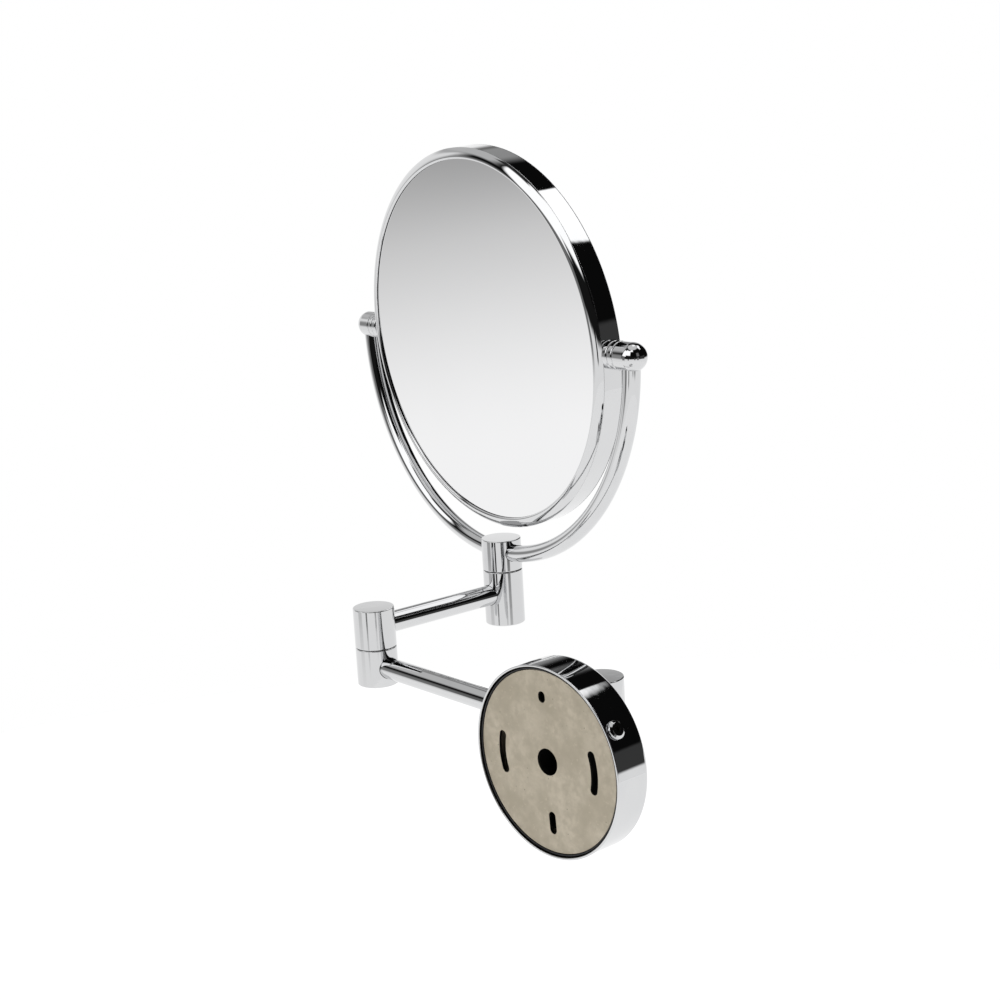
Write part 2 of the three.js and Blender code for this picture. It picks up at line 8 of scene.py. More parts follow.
import json
import logging
import math
from collections.abc import Callable, Iterable, Sequence
from dataclasses import dataclass, field
from enum import Enum

import bpy
from mathutils import Matrix, Vector


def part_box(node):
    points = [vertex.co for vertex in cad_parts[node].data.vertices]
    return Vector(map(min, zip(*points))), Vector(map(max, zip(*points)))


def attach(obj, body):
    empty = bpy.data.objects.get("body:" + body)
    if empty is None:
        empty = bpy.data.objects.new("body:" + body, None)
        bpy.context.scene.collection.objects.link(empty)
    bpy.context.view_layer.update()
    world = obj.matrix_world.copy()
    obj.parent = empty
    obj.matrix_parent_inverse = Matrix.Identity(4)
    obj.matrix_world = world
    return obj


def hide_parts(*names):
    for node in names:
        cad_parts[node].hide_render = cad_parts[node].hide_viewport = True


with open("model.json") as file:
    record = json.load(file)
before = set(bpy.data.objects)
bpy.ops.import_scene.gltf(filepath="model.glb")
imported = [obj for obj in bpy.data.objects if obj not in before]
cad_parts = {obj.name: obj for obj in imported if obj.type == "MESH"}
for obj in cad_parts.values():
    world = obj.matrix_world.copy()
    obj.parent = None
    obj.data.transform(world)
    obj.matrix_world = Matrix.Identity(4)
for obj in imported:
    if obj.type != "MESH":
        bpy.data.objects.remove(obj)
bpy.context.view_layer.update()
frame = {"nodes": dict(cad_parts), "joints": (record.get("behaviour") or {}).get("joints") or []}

LOG = logging.getLogger("shaving_mirror")
MM = 0.001

Point = tuple[float, float]
Corner = tuple[float, float, float]
Colour = tuple[float, float, float]


class Body(Enum):
    """The bodies that pieces ride on."""

    WALL_PLATE = "wall_plate"
    LOWER_ARM = "lower_arm"
    UPPER_ARM = "upper_arm"
    YOKE = "yoke"
    MIRROR_HEAD = "mirror_head"


class Slot(Enum):
    """The record's material slots."""

    CHROME = "chrome"
    DISC_STEEL = "disc_steel"
    BOLT_STEEL = "bolt_steel"
    BLACK_RUBBER = "black_rubber"
    MIRROR_GLASS = "mirror_glass"


class Cut(Enum):
    """What a boolean does with its tool."""

    REMOVE = "DIFFERENCE"
    ADD = "UNION"


class BarrelEnd(Enum):
    """How a hinge barrel is machined at one end."""

    BOLT_POCKET = "bolt_pocket"
    WASHER = "washer"
    BUSH = "bush"
    THREAD = "thread"
    CLOSED = "closed"


# ---------------------------------------------------------------- outlines and meshes


def rounded(corners: Sequence[Corner], steps: int = 6) -> list[Point]:
    """Rounds the corners of an open outline.

    Args:
        corners: Radius, height and rounding of each corner, in order.
        steps: Number of chords that a rounding gets.

    Returns:
        The outline's points as radius and height.
    """
    points: list[Point] = []
    for index, (radius, height, rounding) in enumerate(corners):
        corner = Vector((radius, height))
        if rounding <= 0 or index in (0, len(corners) - 1):
            points.append((radius, height))
            continue
        before = (Vector(corners[index - 1][:2]) - corner).normalized()
        after = (Vector(corners[index + 1][:2]) - corner).normalized()
        half_angle = before.angle(after) / 2
        centre = corner + (before + after).normalized() * (rounding / math.sin(half_angle))
        first = corner + before * (rounding / math.tan(half_angle)) - centre
        last = corner + after * (rounding / math.tan(half_angle)) - centre
        sweep = first.angle_signed(last)
        for step in range(steps + 1):
            turned = first.copy()
            turned.rotate(Matrix.Rotation(-sweep * step / steps, 2))
            points.append(tuple(centre + turned))
    return points


def closed_outline(corners: Sequence[Corner], steps: int = 6) -> list[Point]:
    """An outline that closes on itself; its first corner is left sharp."""
    return rounded([*corners, corners[0]], steps)[:-1]


def arc(centre: Point, radius: float, start: float, end: float, steps: int) -> list[Point]:
    """Points on an arc.

    Args:
        centre: The arc's centre.
        radius: Its radius.
        start: First angle in degrees.
        end: Last angle in degrees.
        steps: Number of chords.

    Returns:
        The points, ends included.
    """
    angles = [math.radians(start + (end - start) * step / steps) for step in range(steps + 1)]
    return [(centre[0] + radius * math.cos(a), centre[1] + radius * math.sin(a)) for a in angles]


def oval_arc(centre: Point, reach: Point, start: float, end: float, steps: int) -> list[Point]:
    """Points on an arc that is stretched along its two axes.

    Args:
        centre: The arc's centre.
        reach: How far it reaches along each axis.
        start: First angle in degrees.
        end: Last angle in degrees.
        steps: Number of chords.

    Returns:
        The points, ends included.
    """
    unit = arc((0.0, 0.0), 1.0, start, end, steps)
    return [(centre[0] + x * reach[0], centre[1] + y * reach[1]) for x, y in unit]


def new_object(name: str, mesh: bpy.types.Mesh) -> bpy.types.Object:
    """Puts a mesh in the scene under a name."""
    thing = bpy.data.objects.new(name, mesh)
    bpy.context.scene.collection.objects.link(thing)
    return thing


def mesh_object(
    name: str,
    points: Iterable[Sequence[float]],
    faces: Iterable[Sequence[int]],
) -> bpy.types.Object:
    """Makes an object from points and faces."""
    mesh = bpy.data.meshes.new(name)
    mesh.from_pydata(list(points), [], list(faces))
    mesh.update()
    return new_object(name, mesh)


def lathe(name: str, outline: Sequence[Point], segments: int, ring: bool = False) -> bpy.types.Object:
    """Turns an outline about Z.

    Args:
        name: The new object's name.
        outline: Radius and height of each point; a solid form starts and ends on the axis.
        segments: Number of flats round the axis.
        ring: True if the outline closes on itself, away from the axis.

    Returns:
        The turned form, with its faces outwards.
    """
    points: list[tuple[float, float, float]] = []
    rows: list[list[int]] = []
    for radius, height in outline:
        count = 1 if radius < 1e-6 else segments
        rows.append([len(points) + k for k in range(count)] * (segments // count))
        for k in range(count):
            angle = math.tau * k / segments
            points.append((radius * math.cos(angle), radius * math.sin(angle), height))
    faces: list[list[int]] = []
    pairs = list(zip(rows, rows[1:]))
    if ring:
        pairs.append((rows[-1], rows[0]))
    for low, high in pairs:
        for k in range(segments):
            after = (k + 1) % segments
            corners = [low[k], low[after], high[after], high[k]]
            face = list(dict.fromkeys(corners))
            if len(face) > 2:
                faces.append(face)
    return outward(mesh_object(name, points, faces))


def enclosed_volume(mesh: bpy.types.Mesh) -> float:
    """Six times the signed volume inside a mesh, negative when it is inside out."""
    mesh.calc_loop_triangles()
    spots = [v.co for v in mesh.vertices]
    corners = ([spots[i] for i in t.vertices] for t in mesh.loop_triangles)
    return sum(a.dot(b.cross(c)) for a, b, c in corners)


def outward(form: bpy.types.Object) -> bpy.types.Object:
    """Turns the faces of a closed form outwards."""
    if enclosed_volume(form.data) < 0:
        form.data.flip_normals()
    return form


def prism(name: str, outline: Sequence[Point], low: float, high: float) -> bpy.types.Object:
    """Stands an outline up along Z.

    Args:
        name: The new object's name.
        outline: The outline's points in the XY plane, anticlockwise.
        low: Height of the lower face.
        high: Height of the upper face.

    Returns:
        The closed prism.
    """
    count = len(outline)
    points = [(x, y, level) for level in (low, high) for x, y in outline]
    sides = [[k, (k + 1) % count, (k + 1) % count + count, k + count] for k in range(count)]
    faces = [list(reversed(range(count))), list(range(count, 2 * count)), *sides]
    return mesh_object(name, points, faces)


def settle(piece: bpy.types.Object) -> bpy.types.Object:
    """Swaps an object's mesh for the result of its modifiers."""
    graph = bpy.context.evaluated_depsgraph_get()
    result = bpy.data.meshes.new_from_object(
        piece.evaluated_get(graph), preserve_all_data_layers=True, depsgraph=graph
    )
    rough = piece.data
    piece.modifiers.clear()
    piece.data = result
    bpy.data.meshes.remove(rough)
    return piece


def combine(piece: bpy.types.Object, tools: Sequence[bpy.types.Object], cut: Cut) -> bpy.types.Object:
    """Adds tools to a form or takes them away.

    Args:
        piece: The form that is kept.
        tools: The forms that are used up.
        cut: Whether the tools are added or removed.

    Returns:
        The changed form.
    """
    for tool in tools:
        boolean = piece.modifiers.new(cut.name.lower(), "BOOLEAN")
        boolean.operation = cut.value
        boolean.solver = "EXACT"
        boolean.object = tool
        settle(piece)
        bpy.data.objects.remove(tool)
    return piece


def moved(piece: bpy.types.Object, matrix: Matrix) -> bpy.types.Object:
    """Moves the mesh and leaves the object at the origin."""
    piece.data.transform(matrix)
    return piece


def break_edges(piece: bpy.types.Object, width: float, angle: float = 40.0) -> bpy.types.Object:
    """Rounds the edges of a form that are sharper than an angle in degrees."""
    bevel = piece.modifiers.new("broken_edges", "BEVEL")
    bevel.width = width
    bevel.segments = 3
    bevel.limit_method = "ANGLE"
    bevel.angle_limit = math.radians(angle)
    return settle(piece)


def polish(piece: bpy.types.Object, crease: float = 32.0) -> bpy.types.Object:
    """Shades a form smooth, with creases kept and flats left truly flat.

    Args:
        piece: The form, still in millimetres.
        crease: Edges sharper than this, in degrees, stay crisp.

    Returns:
        The shaded form.
    """
    piece.data.shade_smooth()
    piece.data.set_sharp_from_angle(angle=math.radians(crease))
    weighted = piece.modifiers.new("true_flats", "WEIGHTED_NORMAL")
    weighted.mode = "FACE_AREA"
    weighted.keep_sharp = True
    return settle(piece)


def along_x() -> Matrix:
    """Lays a form made along Z along X."""
    return Matrix.Rotation(math.pi / 2, 4, "Y")


def shifted(x: float = 0.0, y: float = 0.0, z: float = 0.0) -> Matrix:
    """A plain move."""
    return Matrix.Translation((x, y, z))


def turned(degrees: float, axis: str = "Z") -> Matrix:
    """A plain turn about one of the main axes."""
    return Matrix.Rotation(math.radians(degrees), 4, axis)


# ---------------------------------------------------------------- geometry node trees


@dataclass(frozen=True)
class TreeInput:
    """One named size that a geometry node tree takes."""

    name: str
    kind: str
    value: float


class GeometryTree:
    """A geometry node tree with named inputs, which ends in real meshes with a material."""

    def __init__(self, name: str, inputs: Sequence[TreeInput]) -> None:
        """Makes the empty tree.

        Args:
            name: The tree's name.
            inputs: The sizes it takes.
        """
        self.tree = bpy.data.node_groups.new(name, "GeometryNodeTree")
        self.identifiers: dict[str, str] = {}
        for item in inputs:
            socket = self.tree.interface.new_socket(item.name, in_out="INPUT", socket_type=item.kind)
            socket.default_value = item.value
            self.identifiers[item.name] = socket.identifier
        self.tree.interface.new_socket("Geometry", in_out="OUTPUT", socket_type="NodeSocketGeometry")
        self.given = self.tree.nodes.new("NodeGroupInput")

    def node(self, kind: str, **settings: object) -> bpy.types.Node:
        """Adds a node and sets its options."""
        made = self.tree.nodes.new(kind)
        for key, value in settings.items():
            setattr(made, key, value)
        return made

    def feed(self, source: bpy.types.NodeSocket, target: bpy.types.NodeSocket) -> None:
        """Joins two sockets."""
        self.tree.links.new(source, target)

    def calculate(self, operation: str, first: object, second: object) -> bpy.types.NodeSocket:
        """Adds a sum.

        Args:
            operation: The math node's operation.
            first: A socket or a number.
            second: A socket or a number.

        Returns:
            The result's socket.
        """
        made = self.node("ShaderNodeMath", operation=operation)
        for socket, value in zip(made.inputs, (first, second)):
            if isinstance(value, (int, float)):
                socket.default_value = value
            else:
                self.feed(value, socket)
        return made.outputs[0]

    def finish(self, geometry: bpy.types.NodeSocket, material: bpy.types.Material) -> None:
        """Realizes what the tree made and gives it a material."""
        real = self.node("GeometryNodeRealizeInstances")
        dressed = self.node("GeometryNodeSetMaterial")
        dressed.inputs["Material"].default_value = material
        result = self.node("NodeGroupOutput")
        self.feed(geometry, real.inputs[0])
        self.feed(real.outputs[0], dressed.inputs[0])
        self.feed(dressed.outputs[0], result.inputs[0])

    def grow(self, name: str, sizes: dict[str, float]) -> bpy.types.Object:
        """Runs the tree and keeps its result as a plain mesh.

        Args:
            name: The new object's name.
            sizes: The tree's inputs by name.

        Returns:
            The object, without its modifier.
        """
        piece = new_object(name, bpy.data.meshes.new(name))
        modifier = piece.modifiers.new(self.tree.name, "NODES")
        modifier.node_group = self.tree
        for key, value in sizes.items():
            modifier[self.identifiers[key]] = value
        return settle(piece)


class BentRodTree(GeometryTree):
    """A round rod bent along part of a circle in the XY plane."""

    def __init__(self, material: bpy.types.Material) -> None:
        """Builds the tree.

        Args:
            material: The rod's material.
        """
        super().__init__("bent_rod", [
            TreeInput("Rod Radius", "NodeSocketFloat", 4.0),
            TreeInput("Bend Radius", "NodeSocketFloat", 100.0),
            TreeInput("Start Angle", "NodeSocketFloat", 0.0),
            TreeInput("Sweep", "NodeSocketFloat", math.pi / 2),
            TreeInput("Steps", "NodeSocketInt", 240),
            TreeInput("Flats", "NodeSocketInt", 96),
        ])
        bend = self.node("GeometryNodeCurveArc", mode="RADIUS")
        section = self.node("GeometryNodeCurvePrimitiveCircle", mode="RADIUS")
        sweep = self.node("GeometryNodeCurveToMesh")
        sweep.inputs["Fill Caps"].default_value = True
        smooth = self.node("GeometryNodeSetShadeSmooth")
        self.feed(self.given.outputs["Bend Radius"], bend.inputs["Radius"])
        self.feed(self.given.outputs["Start Angle"], bend.inputs["Start Angle"])
        self.feed(self.given.outputs["Sweep"], bend.inputs["Sweep Angle"])
        self.feed(self.given.outputs["Steps"], bend.inputs["Resolution"])
        self.feed(self.given.outputs["Rod Radius"], section.inputs["Radius"])
        self.feed(self.given.outputs["Flats"], section.inputs["Resolution"])
        self.feed(bend.outputs["Curve"], sweep.inputs["Curve"])
        self.feed(section.outputs["Curve"], sweep.inputs["Profile Curve"])
        self.feed(sweep.outputs["Mesh"], smooth.inputs[0])
        self.finish(smooth.outputs[0], material)


class CollarRingTree(GeometryTree):
    """Two rounded rings on the X axis, one on each side of the origin."""

    def __init__(self, material: bpy.types.Material) -> None:
        """Builds the tree.

        Args:
            material: The rings' material.
        """
        super().__init__("collar_rings", [
            TreeInput("Outer Radius", "NodeSocketFloat", 7.0),
            TreeInput("Bore Radius", "NodeSocketFloat", 3.0),
            TreeInput("Width", "NodeSocketFloat", 3.6),
            TreeInput("Rounding", "NodeSocketFloat", 0.8),
            TreeInput("Middle", "NodeSocketFloat", 102.0),
            TreeInput("Flats", "NodeSocketInt", 128),
        ])
        sizes = self.given.outputs
        wall = self.calculate("SUBTRACT", sizes["Outer Radius"], sizes["Bore Radius"])
        both = self.calculate("ADD", sizes["Outer Radius"], sizes["Bore Radius"])
        mean = self.calculate("MULTIPLY", both, 0.5)
        path = self.node("GeometryNodeCurvePrimitiveCircle", mode="RADIUS")
        self.feed(mean, path.inputs["Radius"])
        self.feed(sizes["Flats"], path.inputs["Resolution"])
        section = self.node("GeometryNodeCurvePrimitiveQuadrilateral", mode="RECTANGLE")
        self.feed(wall, section.inputs["Width"])
        self.feed(sizes["Width"], section.inputs["Height"])
        fillet = self.node("GeometryNodeFilletCurve", mode="POLY")
        fillet.inputs["Count"].default_value = 8
        self.feed(section.outputs["Curve"], fillet.inputs["Curve"])
        self.feed(sizes["Rounding"], fillet.inputs["Radius"])
        ring = self.node("GeometryNodeCurveToMesh")
        self.feed(path.outputs["Curve"], ring.inputs["Curve"])
        self.feed(fillet.outputs["Curve"], ring.inputs["Profile Curve"])
        upright = self.node("GeometryNodeTransform")
        upright.inputs["Rotation"].default_value = (0.0, math.pi / 2, 0.0)
        self.feed(ring.outputs["Mesh"], upright.inputs["Geometry"])
        places = self.node("GeometryNodeMeshLine", mode="END_POINTS")
        places.inputs["Count"].default_value = 2
        far = self.node("ShaderNodeCombineXYZ")
        near = self.node("ShaderNodeCombineXYZ")
        self.feed(sizes["Middle"], far.inputs["X"])
        self.feed(self.calculate("MULTIPLY", sizes["Middle"], -1.0), near.inputs["X"])
        self.feed(near.outputs[0], places.inputs["Start Location"])
        self.feed(far.outputs[0], places.inputs["Offset"])
        copies = self.node("GeometryNodeInstanceOnPoints")
        self.feed(places.outputs["Mesh"], copies.inputs["Points"])
        self.feed(upright.outputs["Geometry"], copies.inputs["Instance"])
        self.finish(copies.outputs["Instances"], material)


# ---------------------------------------------------------------- shader boards and shared effects


class Board:
    """A shader node tree with short calls for adding and joining nodes."""

    def __init__(self, tree: bpy.types.NodeTree) -> None:
        """Takes the tree that the nodes go into."""
        self.tree = tree

    def node(self, kind: str, **settings: object) -> bpy.types.Node:
        """Adds a node and sets its options."""
        made = self.tree.nodes.new(kind)
        for key, value in settings.items():
            setattr(made, key, value)
        return made

    def feed(self, source: object, target: bpy.types.NodeSocket) -> None:
        """Joins a socket to another, or sets it when the source is a plain value."""
        if isinstance(source, bpy.types.NodeSocket):
            self.tree.links.new(source, target)
        else:
            target.default_value = source

    def math(
        self,
        operation: str,
        first: object,
        second: object = 0.0,
        clamp: bool = False,
    ) -> bpy.types.NodeSocket:
        """Adds a sum of two sockets or numbers and gives its result."""
        made = self.node("ShaderNodeMath", operation=operation, use_clamp=clamp)
        self.feed(first, made.inputs[0])
        self.feed(second, made.inputs[1])
        return made.outputs[0]

    def ramp(
        self,
        value: object,
        low: object,
        high: object,
        to_low: object,
        to_high: object,
    ) -> bpy.types.NodeSocket:
        """Maps a value smoothly from one range to another."""
        made = self.node("ShaderNodeMapRange", interpolation_type="SMOOTHSTEP")
        for socket, source in zip(made.inputs, (value, low, high, to_low, to_high)):
            self.feed(source, socket)
        return made.outputs[0]

    def mix(self, factor: object, first: object, second: object) -> bpy.types.NodeSocket:
        """Mixes two colours."""
        made = self.node("ShaderNodeMix", data_type="RGBA")
        colours = [s for s in made.inputs if s.type == "RGBA"]
        self.feed(factor, made.inputs["Factor"])
        self.feed(rgba(first), colours[0])
        self.feed(rgba(second), colours[1])
        return next(s for s in made.outputs if s.type == "RGBA")

    def place(self, group: bpy.types.NodeTree, **values: object) -> bpy.types.Node:
        """Places a shared effect with its own values."""
        made = self.node("ShaderNodeGroup")
        made.node_tree = group
        for key, value in values.items():
            self.feed(value, made.inputs[key.replace("_", " ").title()])
        return made


def rgba(colour: object) -> object:
    """A plain colour with its alpha; sockets pass through."""
    return (*colour, 1.0) if isinstance(colour, tuple) and len(colour) == 3 else colour


class Effects:
    """The surface effects that the finishes share, each a node group built once."""

    def __init__(self) -> None:
        """Builds all the groups."""
        self.cloud = self._cloud()
        self.scratches = self._scratches()
        self.smudges = self._smudges()
        self.specks = self._specks()
        self.grain = self._grain()

    @staticmethod
    def _start(name: str, inputs: dict[str, float]) -> tuple[Board, bpy.types.Node, bpy.types.Node]:
        """Starts a group.

        Args:
            name: The group's name.
            inputs: Its inputs and their usual values.

        Returns:
            The board, the object coordinates' node and the group's inputs.
        """
        tree = bpy.data.node_groups.new(name, "ShaderNodeTree")
        for key, value in inputs.items():
            socket = tree.interface.new_socket(key, in_out="INPUT", socket_type="NodeSocketFloat")
            socket.default_value = value
        board = Board(tree)
        return board, board.node("ShaderNodeTexCoord"), board.node("NodeGroupInput")

    @staticmethod
    def _end(board: Board, outputs: dict[str, bpy.types.NodeSocket]) -> bpy.types.NodeTree:
        """Gives the group its outputs."""
        for key in outputs:
            board.tree.interface.new_socket(key, in_out="OUTPUT", socket_type="NodeSocketFloat")
        result = board.node("NodeGroupOutput")
        for key, source in outputs.items():
            board.feed(source, result.inputs[key])
        return board.tree

    def _cloud(self) -> bpy.types.NodeTree:
        """Slow, soft variation over a surface."""
        board, where, given = self._start("soft_cloud", {"Scale": 60.0, "Low": 0.0, "High": 1.0})
        noise = board.node("ShaderNodeTexNoise")
        noise.inputs["Detail"].default_value = 4.0
        board.feed(where.outputs["Object"], noise.inputs["Vector"])
        board.feed(given.outputs["Scale"], noise.inputs["Scale"])
        value = board.ramp(noise.outputs[0], 0.3, 0.7, given.outputs["Low"], given.outputs["High"])
        return self._end(board, {"Value": value})

    def _scratches(self) -> bpy.types.NodeTree:
        """Sparse hairline scratches in several directions."""
        board, where, given = self._start("hairline_scratches", {"Scale": 300.0, "Amount": 0.5})
        total: object = 0.0
        for turn, stretch in ((0.4, 0.04), (1.9, 0.05), (2.8, 0.03)):
            mapping = board.node("ShaderNodeMapping")
            mapping.inputs["Rotation"].default_value = (turn, turn * 1.7, turn * 2.3)
            mapping.inputs["Scale"].default_value = (1.0, stretch, 1.0)
            noise = board.node("ShaderNodeTexNoise")
            noise.inputs["Detail"].default_value = 2.0
            board.feed(where.outputs["Object"], mapping.inputs["Vector"])
            board.feed(mapping.outputs[0], noise.inputs["Vector"])
            board.feed(given.outputs["Scale"], noise.inputs["Scale"])
            line = board.ramp(noise.outputs[0], 0.66, 0.72, 0.0, 1.0)
            total = board.math("MAXIMUM", line, total)
        return self._end(board, {"Mask": board.math("MULTIPLY", total, given.outputs["Amount"])})

    def _smudges(self) -> bpy.types.NodeTree:
        """Patches where fingers have dulled a polish."""
        board, where, given = self._start("finger_smudges", {"Scale": 40.0, "Amount": 0.5})
        patch = board.node("ShaderNodeTexVoronoi", feature="SMOOTH_F1")
        streaks = board.node("ShaderNodeTexNoise")
        streaks.inputs["Detail"].default_value = 1.0
        board.feed(where.outputs["Object"], patch.inputs["Vector"])
        board.feed(where.outputs["Object"], streaks.inputs["Vector"])
        board.feed(given.outputs["Scale"], patch.inputs["Scale"])
        board.feed(board.math("MULTIPLY", given.outputs["Scale"], 5.0), streaks.inputs["Scale"])
        spot = board.ramp(patch.outputs["Distance"], 0.1, 0.32, 1.0, 0.0)
        streak = board.ramp(streaks.outputs[0], 0.35, 0.65, 0.55, 1.0)
        mask = board.math("MULTIPLY", board.math("MULTIPLY", spot, streak), given.outputs["Amount"])
        return self._end(board, {"Mask": mask})

    def _specks(self) -> bpy.types.NodeTree:
        """Fine dust specks, a share of them on any surface."""
        board, where, given = self._start("dust_specks", {"Scale": 900.0, "Size": 0.1, "Amount": 1.0})
        cells = board.node("ShaderNodeTexVoronoi", feature="F1")
        board.feed(where.outputs["Object"], cells.inputs["Vector"])
        board.feed(given.outputs["Scale"], cells.inputs["Scale"])
        parts = board.node("ShaderNodeSeparateColor")
        board.feed(cells.outputs["Color"], parts.inputs[0])
        kept = board.math("GREATER_THAN", parts.outputs[0], 0.86)
        size = board.math("MULTIPLY", given.outputs["Size"], parts.outputs[1])
        dot = board.math("LESS_THAN", cells.outputs["Distance"], size)
        mask = board.math("MULTIPLY", board.math("MULTIPLY", dot, kept), given.outputs["Amount"])
        return self._end(board, {"Mask": mask})

    def _grain(self) -> bpy.types.NodeTree:
        """Fine even grain, as in a moulded or cast surface."""
        board, where, given = self._start("moulded_grain", {"Scale": 2500.0, "Contrast": 1.0})
        noise = board.node("ShaderNodeTexNoise")
        noise.inputs["Detail"].default_value = 3.0
        board.feed(where.outputs["Object"], noise.inputs["Vector"])
        board.feed(given.outputs["Scale"], noise.inputs["Scale"])
        centred = board.math("SUBTRACT", noise.outputs[0], 0.5)
        height = board.math("ADD", board.math("MULTIPLY", centred, given.outputs["Contrast"]), 0.5)
        return self._end(board, {"Height": height})


# ---------------------------------------------------------------- finishes


@dataclass(frozen=True)
class Finish:
    """A surface finish; each kind paints its own nodes round one Principled shader."""

    name: str
    metallic: float = 0.0
    bump: float = 0.1
    bump_depth: float = 0.0001

    def build(self, effects: Effects) -> bpy.types.Material:
        """Makes the material.

        Args:
            effects: The shared effects.

        Returns:
            The finished material.
        """
        material = bpy.data.materials.new(self.name)
        material.use_nodes = True
        board = Board(material.node_tree)
        shader = material.node_tree.nodes["Principled BSDF"]
        shader.inputs["Metallic"].default_value = self.metallic
        self.paint(board, shader, effects)
        return material

    def paint(self, board: Board, shader: bpy.types.Node, effects: Effects) -> None:
        """Adds the finish's own nodes."""
        raise NotImplementedError

    def relief(self, board: Board, shader: bpy.types.Node, height: bpy.types.NodeSocket) -> None:
        """Raises the surface by a height."""
        bump = board.node("ShaderNodeBump")
        bump.inputs["Strength"].default_value = self.bump
        bump.inputs["Distance"].default_value = self.bump_depth
        board.feed(height, bump.inputs["Height"])
        board.feed(bump.outputs[0], shader.inputs["Normal"])


@dataclass(frozen=True)
class PolishedChrome(Finish):
    """Bright chrome plate over a hand-polished base, a little wavy and lightly handled."""

    metallic: float = 1.0
    bright: Colour = (0.665, 0.668, 0.674)
    hazed: Colour = (0.600, 0.606, 0.618)
    roughness: float = 0.022
    haze: float = 0.05
    bump: float = 0.035
    bump_depth: float = 0.0006

    def paint(self, board: Board, shader: bpy.types.Node, effects: Effects) -> None:
        """Paints haze, smudges, specks and the polish's slow waves."""
        cloud = board.place(effects.cloud, scale=45.0, low=0.0, high=1.0).outputs[0]
        smudge = board.place(effects.smudges, scale=38.0, amount=0.6).outputs[0]
        scratch = board.place(effects.scratches, scale=500.0, amount=0.3).outputs[0]
        speck = board.place(effects.specks, scale=260.0, size=0.07, amount=1.0).outputs[0]
        clouded = board.math("ADD", smudge, board.math("MULTIPLY", cloud, 0.35))
        dulled = board.math("MULTIPLY", clouded, 0.6, clamp=True)
        board.feed(board.mix(dulled, self.bright, self.hazed), shader.inputs["Base Color"])
        marks = board.math("ADD", board.math("MULTIPLY", scratch, 0.05), board.math("MULTIPLY", speck, 0.25))
        hazy = board.math("ADD", self.roughness, board.math("MULTIPLY", dulled, self.haze))
        board.feed(board.math("ADD", hazy, marks), shader.inputs["Roughness"])
        wave = board.place(effects.cloud, scale=28.0, low=0.0, high=1.0).outputs[0]
        self.relief(board, shader, wave)


@dataclass(frozen=True)
class SilveredGlass(Finish):
    """Silvered mirror glass with a little dust and a faint film."""

    metallic: float = 1.0
    clean: Colour = (0.885, 0.885, 0.89)
    dusty: Colour = (0.80, 0.80, 0.805)
    bump: float = 0.01
    bump_depth: float = 0.0002

    def paint(self, board: Board, shader: bpy.types.Node, effects: Effects) -> None:
        """Paints dust, wiping marks and the glass's slight waves."""
        speck = board.place(effects.specks, scale=420.0, size=0.09, amount=1.0).outputs[0]
        wiped = board.place(effects.smudges, scale=16.0, amount=0.25).outputs[0]
        cloud = board.place(effects.cloud, scale=14.0, low=0.0, high=1.0).outputs[0]
        clouded = board.math("MULTIPLY", cloud, 0.2)
        film = board.math("ADD", clouded, board.math("MULTIPLY", wiped, 0.5), clamp=True)
        dirt = board.math("ADD", board.math("MULTIPLY", film, 0.25), speck, clamp=True)
        board.feed(board.mix(dirt, self.clean, self.dusty), shader.inputs["Base Color"])
        rough = board.math("ADD", 0.006, board.math("MULTIPLY", film, 0.012))
        board.feed(board.math("ADD", rough, board.math("MULTIPLY", speck, 0.12)), shader.inputs["Roughness"])
        self.relief(board, shader, cloud)


@dataclass(frozen=True)
class GroundGlassEdge(Finish):
    """The ground and painted edge of a mirror glass."""

    tone: Colour = (0.10, 0.13, 0.12)
    bump: float = 0.3

    def paint(self, board: Board, shader: bpy.types.Node, effects: Effects) -> None:
        """Paints a grey-green ground edge."""
        cloud = board.place(effects.cloud, scale=220.0, low=0.2, high=1.0).outputs[0]
        board.feed(board.mix(cloud, (0.04, 0.05, 0.05), self.tone), shader.inputs["Base Color"])
        board.feed(board.ramp(cloud, 0.0, 1.0, 0.3, 0.5), shader.inputs["Roughness"])
        self.relief(board, shader, board.place(effects.grain, scale=3000.0).outputs[0])


